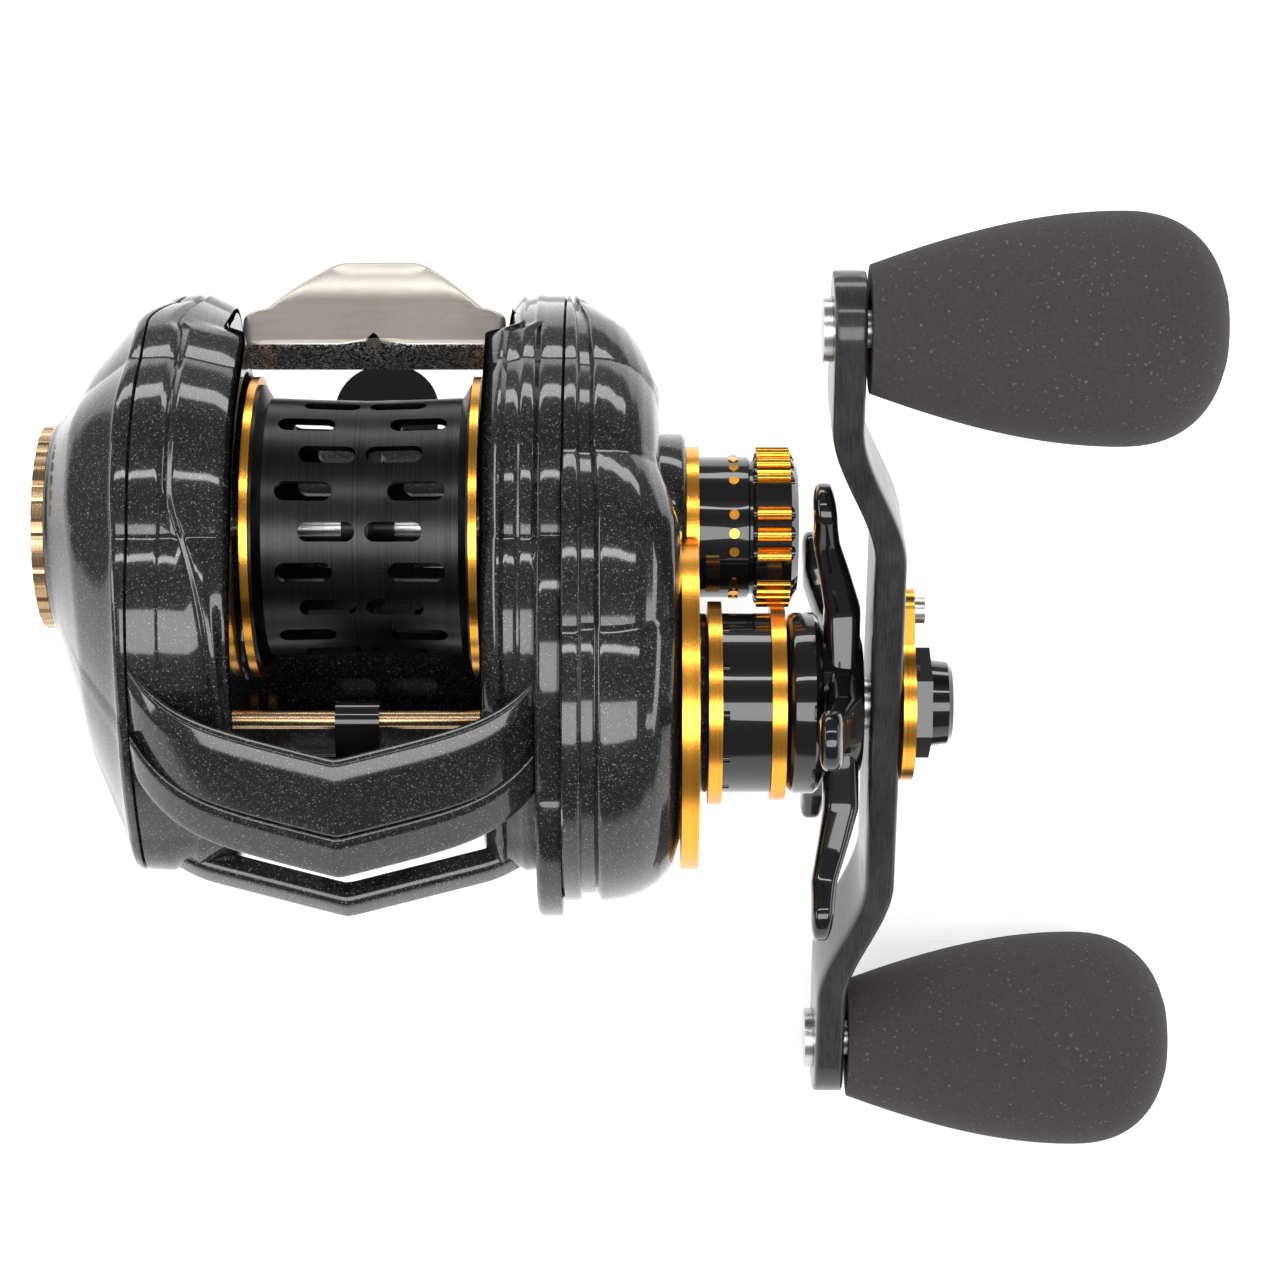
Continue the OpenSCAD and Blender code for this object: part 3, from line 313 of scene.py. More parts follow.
def gloss_black():
    finish = Finish("gloss_black", {"Coat Weight": 1.0, "Coat Roughness": 0.03, "Specular IOR Level": 0.1})
    place = finish.place()
    haze = finish.noise(place, 3 * mm)
    finish.feed(base_color=finish.blend(haze, (0.003, 0.003, 0.0035), (0.006, 0.006, 0.0065)),
                roughness=0.16 + 0.12 * finish.noise(place, 0.6 * mm))
    finish.relief(finish.noise(place, 0.9 * mm), 0.004 * mm)
    return finish.material


def satin_black():
    finish = Finish("satin_black", {"Specular IOR Level": 0.3})
    place = finish.place()
    grain = finish.noise(place, 0.25 * mm)
    finish.feed(base_color=finish.blend(grain, (0.010, 0.010, 0.011), (0.024, 0.024, 0.026)),
                roughness=0.42 + 0.2 * grain)
    finish.relief(grain, 0.015 * mm)
    return finish.material


def turned_metal(name, colour, worn, roughness, centre, ring=0.12 * mm, depth=0.006 * mm):
    """Turned metal: fine rings round an axis along X, seen as grooves across X and across the radius."""
    finish = Finish(name, {"Metallic": 1.0})
    place = finish.place(centre=centre)
    point = finish.node("ShaderNodeSeparateXYZ", {}, {0: place}, 0)
    across = finish.node("ShaderNodeSeparateXYZ", {}, {0: place}, 1)
    up = finish.node("ShaderNodeSeparateXYZ", {}, {0: place}, 2)
    radius = (across * across + up * up) ** 0.5
    rings = finish.node("ShaderNodeCombineXYZ", {}, {0: point, 1: radius, 2: 0.0}, 0)
    groove = finish.noise(rings, ring, 4, 0.7)
    smear = finish.noise(finish.place(), 4 * mm)
    finish.feed(base_color=finish.blend(finish.steps(groove, 0.3, 0.75), colour, worn),
                roughness=roughness - 0.08 + 0.16 * groove + 0.05 * smear)
    finish.relief(groove, depth)
    return finish.material


def axis_of(name):
    """The middle of a CAD node's box."""
    low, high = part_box(name)
    return (np.array(low) + np.array(high)) / 2


spool_axis = axis_of("spool_rims")
drive_axis = axis_of("drive_shaft")
paint = flake_paint()
gloss = gloss_black()
satin = satin_black()
steel = turned_metal("steel", (0.48, 0.48, 0.49), (0.70, 0.70, 0.71), 0.28, spool_axis)
drive_steel = turned_metal("drive_steel", (0.48, 0.48, 0.49), (0.70, 0.70, 0.71), 0.26, drive_axis)
brass = turned_metal("brass", (0.50, 0.33, 0.12), (0.72, 0.52, 0.22), 0.26, drive_axis)
gold = turned_metal("gold_anodised", (0.78, 0.30, 0.025), (0.98, 0.50, 0.08), 0.22, drive_axis)
spool_gold = turned_metal("spool_gold", (0.78, 0.30, 0.025), (0.98, 0.50, 0.08), 0.20, spool_axis)
bronze = turned_metal("bronze_anodised", (0.30, 0.19, 0.10), (0.52, 0.36, 0.21), 0.24, spool_axis)
dress(paint, "frame", "front_cover", "palm_side_plate", "gear_side_plate")
dress(gloss, "reel_foot", "line_guide", "cast_control_cap", "handle_nut", "drag_barrel",
      "brake_dial", "guide_insert")
dress(steel, "foot_rivets", "side_plate_screws", "spool_bearing", "pinion_bearing", "yoke_posts",
      "yoke_springs", "palm_bearing", "spool_shaft", "spool_pin", "yoke", "thumb_bar_pin", "line_pawl")
dress(drive_steel, "drive_bearing", "one_way_bearing", "drive_shaft", "pressure_plate", "one_way_sleeve",
      "spring_washers", "retainer_screw", "knob_posts", "knob_bearings", "ratchet")
dress(brass, "pinion", "clutch_cam", "main_gear", "cap_shim")
dress(gold, "trim_ring", "nut_retainer", "cap_trim", "drag_rings")
dress(bronze, "guide_rod", "dial_rim", "rear_knob_cap", "front_knob_cap")
dress(satin, "worm_bushes", "magnet_carrier", "worm_gear", "pawl_cap", "level_wind_cog")
dress(spool_gold, "spool_rims", "brake_magnets")


# ---------------------------------------------------------------- spool
# The spool is turned from aluminium and anodised black, with slots milled through the barrel
# to lighten it. Its finish shows the tool's fine rings.
dress(turned_metal("spool_black", (0.014, 0.014, 0.015), (0.045, 0.044, 0.043), 0.27, spool_axis, 0.1 * mm),
      "spool")
dress(turned_metal("worm_steel", (0.20, 0.20, 0.21), (0.42, 0.42, 0.43), 0.25, axis_of("worm_shaft")),
      "worm_shaft")


# ---------------------------------------------------------------- handle and knobs
# The arm is cut from a stack of carbon sheets, so its edge shows layers. The knobs are
# closed-cell foam, turned to shape.
def carbon_laminate():
    finish = Finish("carbon_laminate", {"Coat Weight": 0.6, "Coat Roughness": 0.12,
                                        "Specular IOR Level": 0.2})
    layers = finish.noise(finish.place(scale=(1, 0.05, 0.05)), 0.12 * mm, 4, 0.6)
    cloud = finish.noise(finish.place(scale=(0.3, 0.15, 0.15)), 1.4 * mm, 5, 0.7)
    finish.feed(base_color=finish.blend(finish.steps(layers * 0.5 + cloud * 0.5, 0.35, 0.7),
                                        (0.004, 0.004, 0.0045), (0.045, 0.045, 0.046)),
                roughness=0.28 + 0.25 * cloud)
    finish.relief(layers, 0.01 * mm)
    return finish.material


def knob_foam():
    finish = Finish("knob_foam", {"Specular IOR Level": 0.12, "Sheen Weight": 0.04, "Sheen Roughness": 0.6})
    place = finish.place()
    grain = finish.noise(place, 0.35 * mm, 5, 0.7)
    specks = finish.cells(place, 0.22 * mm)
    finish.feed(base_color=finish.blend(specks ** 60, finish.blend(grain, (0.024, 0.021, 0.022),
                                                                   (0.062, 0.054, 0.056)),
                                        (0.12, 0.105, 0.10)),
                roughness=0.72 + 0.2 * grain)
    finish.relief(grain, 0.05 * mm)
    return finish.material


def drag_carbon():
    finish = Finish("drag_carbon", {"Coat Weight": 0.3})
    place = finish.place()
    weave = finish.node("ShaderNodeTexChecker", {}, {"Vector": place, "Scale": 1 / (0.9 * mm)}, 1)
    grain = finish.noise(finish.place(scale=(1, 0.1, 1)), 0.1 * mm)
    finish.feed(
        base_color=finish.blend(weave * 0.5 + grain * 0.5, (0.012, 0.012, 0.013), (0.06, 0.06, 0.062)),
        roughness=0.4 + 0.2 * grain)
    finish.relief(weave, 0.02 * mm)
    return finish.material


dress(drag_carbon(), "drag_washers")
laminate = carbon_laminate()
foam = knob_foam()


# ---------------------------------------------------------------- knobs
# Each knob is foam turned to a pear: it swells from its neck to a wide shoulder and closes in a
# round nose, with a bronze cap over its bearing.
def skin(name, grids, finish, body, *nodes, sharp=35, slot=None):
    """One mesh from grids of points, rows by columns. A grid is (points, rows_close, columns_close);
    neighbours are joined by quads, and an end row of one place closes as a pole."""
    points, faces, start = [], [], 0
    for grid, rows_close, columns_close in grids:
        rows, columns = grid.shape[:2]
        index = np.arange(rows * columns).reshape(rows, columns) + start
        start += rows * columns
        if rows_close:
            index = np.vstack([index, index[:1]])
        if columns_close:
            index = np.hstack([index, index[:, :1]])
        quads = np.stack([index[:-1, :-1], index[1:, :-1], index[1:, 1:], index[:-1, 1:]], -1)
        points.append(grid.reshape(-1, 3))
        faces.append(quads.reshape(-1, 4))
    mesh = bpy.data.meshes.new(name)
    mesh.from_pydata(np.concatenate(points), [], np.concatenate(faces).tolist())
    shell = bmesh.new()
    shell.from_mesh(mesh)
    bmesh.ops.remove_doubles(shell, verts=shell.verts, dist=0.001 * mm)
    bmesh.ops.recalc_face_normals(shell, faces=shell.faces)
    shell.to_mesh(mesh)
    shell.free()
    mesh.shade_smooth()
    mesh.set_sharp_from_angle(angle=radians(sharp))
    mesh.materials.append(finish)
    piece = link(name, mesh)
    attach(piece, body)
    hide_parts(*nodes)
    return piece


def revolved(profile, axis, columns=96):
    """A grid from a profile of (x, radius) points turned about an axis along X."""
    turn = np.linspace(0, 2 * pi, columns, endpoint=False)
    x, r = np.array(profile).T
    around = r[:, None] * np.cos(turn), r[:, None] * np.sin(turn)
    along_x = np.broadcast_to(x[:, None], around[0].shape)
    return np.stack([along_x, axis[1] + around[0], axis[2] + around[1]], -1)


def pear(length, widest, neck):
    """The knob's side as (x, radius): a cubic swell from the neck to the shoulder at 0.7 of the length,
    then a quarter of an ellipse of power 2.4 to the nose."""
    t = np.linspace(0, 1, 28)
    shoulder = 0.7 * length
    swell = np.stack([
        shoulder * (0.9 * t * (1 - t) ** 2 + 1.93 * t * t * (1 - t) + t ** 3),
        neck * ((1 - t) ** 3 + 4.26 * t * (1 - t) ** 2) + widest * (3 * t * t * (1 - t) + t ** 3)
    ], -1)
    s = np.sin(np.linspace(0, pi / 2, 24))[1:]
    nose = np.stack([shoulder + (length - shoulder) * s, widest * (1 - s ** 2.4) ** (1 / 2.4)], -1)
    return np.concatenate([swell, nose])


for side in ("rear", "front"):
    low, high = (np.array(corner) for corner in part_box(side + "_knob"))
    cap_low, cap_high = (np.array(corner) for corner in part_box(side + "_knob_cap"))
    middle = (low + high) / 2
    radius = (high[1] - low[1]) / 2
    cap_radius = (cap_high[1] - cap_low[1]) / 2
    bore = 3.7 * mm
    side_line = pear(high[0] - low[0], radius, 6.8 * mm) + [low[0], 0]
    kept = side_line[side_line[:, 1] > cap_radius + 0.5 * mm]
    lip = kept[-1][0]
    profile = np.concatenate([
        [[low[0] + 0.6 * mm, bore], [low[0] - 0.0 * mm, bore + 0.4 * mm]],
        kept,
        [[lip + 0.25 * mm, cap_radius + 0.25 * mm], [lip - 0.2 * mm, cap_radius + 0.04 * mm],
         [lip - 2 * mm, cap_radius + 0.04 * mm], [lip - 2 * mm, bore]]
    ])
    skin(side + "_foam_knob", [(revolved(profile, middle), True, True)], foam, "knob_" + side, side + "_knob",
         slot="knob_foam")
    crown = np.linspace(0, 1, 7)
    cap_profile = np.concatenate([
        [[cap_low[0], 0], [cap_low[0], cap_radius]],
        [[lip - 0.1 * mm, cap_radius], [lip + 0.15 * mm, cap_radius - 0.25 * mm]],
        np.stack([lip + 0.15 * mm - 0.35 * mm * crown ** 0.5, (cap_radius - 1.1 * mm) * (1 - crown)], -1)
    ])
    skin(side + "_bronze_cap", [(revolved(cap_profile, middle), False, True)], bronze, "knob_" + side,
         side + "_knob_cap", slot="bronze_anodised")


# ---------------------------------------------------------------- handle arm
# One arm of stacked carbon sheet carries both knobs. It is widest at the nut and steps in towards
# the reel on each side, in a smooth double bend.
def squared(angle, power):
    """A circle squared off: cosine and sine raised to a power under 1, with their signs kept."""
    return (np.sign(np.cos(angle)) * np.abs(np.cos(angle)) ** power,
            np.sign(np.sin(angle)) * np.abs(np.sin(angle)) ** power)


def step_between(value, low, high):
    """0 below low and 1 above high, with a smooth S between."""
    t = np.clip((value - low) / (high - low), 0, 1)
    return t * t * (3 - 2 * t)


knob_gap = axis_of("rear_knob") - axis_of("front_knob")
throw = np.linalg.norm(knob_gap[1:]) / 2
arm_low, arm_high = (np.array(corner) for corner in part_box("handle_arm"))
arm_thick = 3.5 * mm
arm_half, arm_end = 7.5 * mm, 6.2 * mm
along = np.array([0, *knob_gap[1:]]) / np.linalg.norm(knob_gap[1:])
across = np.array([0, -along[2], along[1]])
ends = 1 - np.cos(np.linspace(0, pi / 2, 20))
flat = np.linspace(0, 1, 120)[1:-1]
reach_out = np.concatenate([
    -throw - arm_end * (1 - ends), -throw + 2 * throw * flat, throw + arm_end * (1 - ends[::-1])
])
half_width = np.where(
    np.abs(reach_out) > throw,
    np.sqrt(np.maximum(arm_end ** 2 - (np.abs(reach_out) - throw) ** 2, 0)),
    arm_half + (arm_end - arm_half) * np.abs(reach_out) / throw
)
bend_start, bend_end = 20 * mm, 36 * mm
rise = (arm_high[0] - arm_low[0] - arm_thick) * (1 - step_between(np.abs(reach_out), bend_start, bend_end))
edge, face = squared(np.linspace(0, 2 * pi, 64, endpoint=False), 0.22)
round_off = np.minimum(1, half_width / (1.2 * mm)) ** 0.5
arm_points = (
    (drive_axis * [0, 1, 1])
    + reach_out[:, None, None] * along
    + (half_width[:, None] * edge)[..., None] * across
    + (arm_low[0] + arm_thick / 2 + rise[:, None] + (arm_thick / 2 * round_off)[:, None] * face)[..., None]
    * np.array([1, 0, 0])
)
skin("laminate_arm", [(arm_points, False, True)], laminate, "handle", "handle_arm", slot="carbon_laminate")


# ---------------------------------------------------------------- star drag
# The star is cast in one piece: a hub and curved arms that widen into pads for the fingertips.
star_low = np.array(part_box("star_drag")[0])
arms = 5
first_arm = radians(49.7)
hub = [(0, 9.2), (0.3, 9.8), (0.9, 10.1), (3.0, 10.1), (3.5, 9.6), (3.9, 8.6), (5.2, 8.2), (7.6, 8.0),
       (8.2, 7.6),
       (8.4, 7.0), (8.4, 3.4), (0, 3.4)]
hub_profile = np.array(hub) * mm + [star_low[0], 0]
grids = [(revolved(hub_profile, drive_axis), True, True)]
pad_centre, pad_round = 23.5, 3.0
beyond = pad_centre + pad_round * np.sin(np.linspace(0, pi / 2, 14))[1:]
r = np.concatenate([np.linspace(5, pad_centre, 40), beyond]) * mm
wide = np.interp(r / mm, [5, 8, 12, 17, 20, 22, 23.5], [5.2, 4.2, 2.7, 2.05, 2.2, 2.8, 3.2]) * mm
tip = np.sqrt(np.maximum(1 - (np.maximum(r - pad_centre * mm, 0) / (pad_round * mm)) ** 2, 0))
mid_x = star_low[0] + np.interp(r / mm, [5, 12, 16, 20, 26.5], [6.0, 6.0, 5.1, 4.1, 3.7]) * mm
thick = np.interp(r / mm, [5, 12, 18, 22, 26.5], [2.0, 2.0, 1.6, 1.35, 1.25]) * mm * (0.35 + 0.65 * tip)
edge, face = squared(np.linspace(0, 2 * pi, 40, endpoint=False), 0.55)
for k in range(arms):
    angle = first_arm + 2 * pi * k / arms
    out = np.array([0, cos(angle), sin(angle)])
    over = np.array([0, -sin(angle), cos(angle)])
    grid = (
        (drive_axis * [0, 1, 1])
        + r[:, None, None] * out
        + ((wide * tip)[:, None] * edge)[..., None] * over
        + (mid_x[:, None] + thick[:, None] * face)[..., None] * np.array([1, 0, 0])
    )
    grids.append((grid, False, True))
skin("star_wheel", grids, gloss, "star", "star_drag", sharp=40, slot="gloss_black")


# ---------------------------------------------------------------- frame
# The frame is one casting: a ring on each side of the spool, the gear case outside the handle-side
# ring, a floor, and a bar across the front. Ridges run round the rings and meet at the hood's corners.
turn = np.linspace(0, 2 * pi, 420, endpoint=False)
ring_circle = (0, 20.5, 21)
rear_circle = (19.8, 21, 8.5)
brow_circle = (-24.5, 24.5, 6)
front_circle = (-28.55, 11.96, 9)
low_circle = (-27.38, 12.5, 15.51)
gear_circle = (-20.88, 19, 22.01)
axis_z = 20.5
bay_radius = 17.5
palm_face, palm_parting = -13.5, -24.5
wall_face, case_face = 13.4, 22.3
notch = 2.2


def belt_reach(circles):
    """The distance from the spool's axis to a belt round circles (y, z, radius), for each turn. The belt's
    point with a given normal lies on the circle that reaches furthest that way."""
    y, z, radius = np.array(circles).T
    normal = np.linspace(0, 2 * pi, 3600, endpoint=False)
    span = np.outer(y, np.cos(normal)) + np.outer(z - axis_z, np.sin(normal)) + radius[:, None]
    held = span.argmax(0)
    across = y[held] + radius[held] * np.cos(normal)
    up = z[held] - axis_z + radius[held] * np.sin(normal)
    return np.interp(turn, np.arctan2(up, across), np.hypot(across, up), period=2 * pi)


def station(x, rho):
    """A closed row of points at x and at a distance rho from the spool's axis, in millimetres."""
    x, rho = np.broadcast_to(x, turn.shape), np.broadcast_to(rho, turn.shape)
    return np.stack([x, rho * np.cos(turn), axis_z + rho * np.sin(turn)], -1)


def notched(rho):
    """0 round the ring and 1 behind the spool, where the thumb bar runs down between the rings."""
    return step_between(rho * np.cos(turn), 17.6, 19.3)


def parting(rho):
    """The palm plate meets the frame in a plane that bends towards the handle at the rear."""
    return palm_parting + 3.2 * step_between(rho * np.cos(turn), 19, 28)


def filled(stations, steps=3):
    """A grid with straight steps added between rows."""
    rows = np.array(stations)
    share = np.arange(steps)[:, None, None, None] / steps
    between = rows[None, :-1] * (1 - share) + rows[None, 1:] * share
    rows = np.concatenate([between.transpose(1, 0, 2, 3).reshape(-1, *rows.shape[1:]), rows[-1:]])
    return rows


palm_reach = belt_reach([ring_circle, rear_circle, brow_circle, front_circle])
case_reach = belt_reach([ring_circle, rear_circle, low_circle])
plate_reach = belt_reach([ring_circle, rear_circle, gear_circle])
front_share = step_between(-np.cos(turn), 0.2, 0.95)
ridge_place = 0.46 + 0.40 * front_share * step_between(np.sin(turn), -0.5, 0.4)


def palm_face_x(rho):
    return palm_face - notch * notched(rho)


def wall_face_x(rho):
    return wall_face + notch * 1.2 * notched(rho)


# From its parting edge to its face the palm ring has a groove, a narrow strip, a ridge, a hollow facet
# and a second ridge, whose place along X slides towards the face near the hood.
palm_ring = []
for share, height in ((0, -0.5), (0.02, -0.05), (0.05, 0), (0.24, 0.12), (0.28, 0.1), (0.34, -0.22),
                      (ridge_place - 0.09, -0.5), (ridge_place, 0.1), (ridge_place + 0.04, 0.0),
                      (0.93, -1.25), (0.97, -1.55), (1, -2.1)):
    rho = palm_reach + height
    palm_ring.append(station(parting(rho) + (palm_face_x(rho) - parting(rho)) * share, rho))
inner = bay_radius + (palm_reach - bay_radius) * np.linspace(0.85, 0, 9)[:, None]
inner[-1] = bay_radius + 0.25
palm_ring += [station(palm_face_x(rho), rho) for rho in inner]
palm_ring += [station(palm_face - 0.25, bay_radius), station(palm_parting + 0.3, bay_radius),
              station(palm_parting, bay_radius + 0.3), station(palm_parting, bay_radius + 1.5),
              station(palm_face - 4.4, bay_radius + 1.6), station(palm_face - 4.4, palm_reach - 2.2)]
palm_ring += [station(parting(palm_reach - 2), palm_reach - 2)]


narrow = 19.2
wall_ring = [station(case_face, case_reach - 0.5), station(case_face - 0.2, case_reach - 0.05),
             station(case_face - 0.5, case_reach), station(narrow + 0.6, case_reach),
             station(narrow + 0.2, case_reach - 0.4)]
for share, height in ((0.36, 0), (0.46, 0.12), (0.5, 0.1), (0.56, -0.2), (0.7, -0.45), (0.76, 0.0),
                      (0.8, -0.1), (0.94, -1.2), (0.97, -1.5), (1, -2.1)):
    rho = palm_reach + height
    wall_ring.append(station(case_face + (wall_face_x(rho) - case_face) * share, rho))
inner = bay_radius + (palm_reach - bay_radius) * np.linspace(0.85, 0, 9)[:, None]
wall_ring += [station(wall_face_x(rho), rho) for rho in inner]
wall_ring += [station(wall_face, rho) for rho in (12, 4.7)]
wall_ring += [station(wall_face + 2, rho) for rho in (4.7, 12, 17)]
wall_ring += [station(narrow - 1, palm_reach - 2), station(case_face, case_reach - 2)]


def rounded(corners, radius, parts=4):
    """A closed outline through corners (u, v), each cut by an arc-like curve: a quadratic from a point
    the radius before the corner to one the radius after it."""
    corner = np.array(corners, float)
    before = np.roll(corner, 1, 0) - corner
    after = np.roll(corner, -1, 0) - corner
    before *= np.minimum(radius / np.linalg.norm(before, axis=1), 0.45)[:, None]
    after *= np.minimum(radius / np.linalg.norm(after, axis=1), 0.45)[:, None]
    t = np.linspace(0, 1, parts + 1)[:, None, None]
    points = corner + before * (1 - t) ** 2 + after * t ** 2
    return points.transpose(1, 0, 2).reshape(-1, 2)


def beam(section, x, bend, lift=0, end=0.0):
    """A bar along X with an outline (y, z); both ends are drawn to the outline's middle. It is bent back by
    bend millimetres and lifted, at each x."""
    x = np.asarray(x, float)
    middle = section.mean(0)
    size = np.ones(len(x))
    size[[0, -1]] = end
    outline = middle + (section - middle) * size[:, None, None]
    shift = np.stack([np.broadcast_to(bend, x.shape), np.broadcast_to(lift, x.shape)], -1)
    outline = outline + shift[:, None]
    return np.concatenate([np.broadcast_to(x[:, None, None], (*outline.shape[:2], 1)), outline], -1)


front_y = -42.89
hood_mid = -1.8
sweep = tan(radians(15))
lip_x = np.concatenate([[-24.3], np.linspace(-24.3, 20.5, 61), [20.5]])
lip_bend = front_y + sweep * (np.sqrt((lip_x - hood_mid) ** 2 + 0.1) - 0.3)
lip_end = np.clip((np.abs(lip_x - hood_mid) - 15) / 8, 0, 1) ** 2
lip_section = rounded([(0, 9.6), (0.4, 12.3), (1.4, 12.9), (3.2, 12.5), (3.8, 9.0), (1.8, 7.6)], 0.45)
lip_bar = beam(lip_section, lip_x, lip_bend + 2.5 * lip_end, 1.5 * lip_end)
arc = np.linspace(radians(249), radians(291), 15)
floor_top = np.stack([bay_radius * np.cos(arc), axis_z + bay_radius * np.sin(arc)], -1)
floor_section = np.concatenate([[(-22, 5.1)], floor_top, [(18, 5.1), (17, 1.9), (-21, 1.9)]])
floor_bar = beam(rounded(floor_section, 0.3), [-14.6, -14.6, 14.6, 14.6], 0)
casting = [(filled(ring) * mm, True, True) for ring in (palm_ring, wall_ring)]
casting += [(lip_bar * mm, False, True), (floor_bar * mm, False, True)]
skin("cast_frame", casting, paint, "chassis", "frame", sharp=50, slot="body_paint")


# ---------------------------------------------------------------- hood
# The hood over the line guide is a painted cap in two layers, screwed to the frame. Both bend
# back from a sharp middle, and a dark seam parts them.
hood_x = np.concatenate([[-24.2], np.linspace(-24.2, 19.2, 71), [19.2]])
hood_half = 21.7
from_middle = np.abs(hood_x - hood_mid) / hood_half
hood_bend = front_y + sweep * (np.sqrt((hood_x - hood_mid) ** 2 + 0.1) - 0.3) + 4 * from_middle ** 6
upper_section = rounded([(9.9, 33.3), (8.9, 33.7), (7.0, 32.5), (2.9, 27.6), (3.5, 26.9), (8.4, 30.9),
                         (9.7, 31.6)], 0.4)
lower_section = rounded([(2.9, 27.3), (2.1, 26.6), (0.4, 23.4), (0.1, 22.5), (0.9, 22.1), (2.4, 22.3),
                         (4, 26)], 0.35)
upper = beam(upper_section, hood_x, hood_bend, 0.6 * from_middle ** 3)
lower = beam(lower_section, hood_x, hood_bend, 2.6 * from_middle ** 4)
skin("hood", [(upper * mm, False, True), (lower * mm, False, True)], paint, "chassis", "front_cover",
     sharp=50, slot="body_paint")


# ---------------------------------------------------------------- thumb bar
# The thumb bar is a solid aluminium bar between the rings, brushed along its length and anodised a
# warm grey. Its front face is left grained, with a small notch at the middle, and its colour carries painted
# glints: bright and near-black specks that stand in for light caught by the grains.
def brushed_bar():
    finish = Finish("brushed_bar", {"Metallic": 0.85, "Coat Weight": 0.25, "Coat Roughness": 0.2})
    hair = finish.noise(finish.place(scale=(0.03, 1, 1)), 0.12 * mm, 5, 0.7)
    tone = finish.noise(finish.place(scale=(1, 0.4, 0.4)), 9 * mm, 1)
    stain = finish.noise(finish.place(), 1.1 * mm, 4, 0.7)
    finish.feed(base_color=finish.blend(hair * 0.35 + tone * 0.45 + stain * 0.2, (0.25, 0.225, 0.19),
                                        (0.62, 0.58, 0.52)),
                roughness=0.30 + 0.16 * hair)
    finish.relief(hair, 0.006 * mm)
    return finish.material


def grained_face_painted_glints():
    finish = Finish("grained_face_painted_glints", {"Metallic": 0.9})
    grain = finish.cells(finish.place(), 0.17 * mm)
    patch = finish.noise(finish.place(), 2.5 * mm)
    # Painted glints: each grain is coloured between near-black and near-white, in patches, for the sparkle of
    # light off the grained face.
    painted_glint = grain ** 2.5 * (patch + 0.45)
    finish.feed(base_color=finish.blend(painted_glint, (0.035, 0.035, 0.037), (0.85, 0.84, 0.82)),
                roughness=0.25 + 0.35 * grain)
    finish.relief(grain, 0.05 * mm)
    return finish.material


bar_low, bar_high = (np.array(corner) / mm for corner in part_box("thumb_bar"))
bar_middle = (bar_low[0] + bar_high[0]) / 2
left, right, front, rear = bar_low[0], bar_high[0], bar_low[1], bar_high[1] + 1.2
plan = rounded([(left, front), (bar_middle, front), (right, front), (right, front + 4.4),
                (right - 2.6, front + 5.2), (right - 8.5, rear - 0.8), (right - 10.5, rear),
                (left + 11, rear), (left + 9, rear - 0.8), (left + 2.4, front + 5), (left, front + 4.4)], 0.9, 8)
pieces_along = np.linspace(0, 1, 4, endpoint=False)[:, None, None]
plan = (plan * (1 - pieces_along) + np.roll(plan, -1, 0) * pieces_along).transpose(1, 0, 2).reshape(-1, 2)


def bar_row(height, inset=0.0, depth=1.0):
    """The plan drawn in towards its middle by a share, with a notch at the front. Its height is in mm or,
    if that is 0 or less, counts from the crowned top."""
    centre = np.array([bar_middle, front + 5.2])
    x, y = (plan + (centre - plan) * inset).T
    y = front + (y - front) * depth
    crown = bar_high[2] - 0.05 - 1.8 * np.clip((y - front - 5.8) / 5.2, 0, 1) ** 1.6
    z = crown + height if height <= 0 else np.minimum(height, crown)
    notch_wide = np.maximum(1.3 - np.abs(x - bar_middle), 0)
    notch_high = np.clip((z - bar_low[2] - 3.4) / 1.5, 0, 1)
    return np.stack([x, y + notch_wide * (y < front + 1) * notch_high, z], -1)


bar_rows = [bar_row(bar_low[2], 1, 0.45), bar_row(bar_low[2], 0.02, 0.45), bar_row(bar_low[2] + 0.3, 0, 0.47),
            bar_row(bar_low[2] + 1.6, 0, 0.7), bar_row(bar_low[2] + 2.4, 0, 0.85), bar_row(-1.6),
            bar_row(-0.75),
            bar_row(-0.35, 0.02), bar_row(-0.1, 0.05), bar_row(0, 0.09)]
bar_rows += [bar_row(0, inset) for inset in (0.2, 0.35, 0.5, 0.7, 0.85, 1)]
bar = skin("thumb_bar_brushed", [(np.array(bar_rows) * mm, False, True)], brushed_bar(), "thumb", "thumb_bar",
           sharp=42, slot="thumb_metal")
bar.data.materials.append(grained_face_painted_glints())
# The faces looking forward get the grained finish with its painted glints.
facing = np.zeros(len(bar.data.polygons) * 3)
bar.data.polygons.foreach_get("normal", facing)
grained_glint_faces = (facing.reshape(-1, 3)[:, 1] < -0.8).astype(np.int32)
bar.data.polygons.foreach_set("material_index", grained_glint_faces)


# ---------------------------------------------------------------- palm side plate
# The palm plate is a thin painted shell that bulges from the parting edge up to the dial, in two
# facets with a ridge between. Inside are the bearing's hub and the ring that locks in the frame.
dial_low, dial_high = (np.array(corner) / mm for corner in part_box("dial_rim"))
dial_radius = (dial_high[2] - dial_low[2]) / 2
palm_top = dial_low[0] + 1.8
collar = dial_radius + 0.35


slope = 0.15 + 0.3 * front_share + 0.4 * step_between(np.cos(turn), 0.2, 0.95)


def bulge(share, height, inset=0.0):
    """A row between the parting edge, at share 0, and the dial's collar, at share 1. The shell slopes more
    gently in front and behind than above and below."""
    rho = (palm_reach - inset) * (1 - share) + collar * share
    edge = parting(rho)
    return station(edge + (palm_top - edge) * height * (1 - slope * (1 - share)), rho)


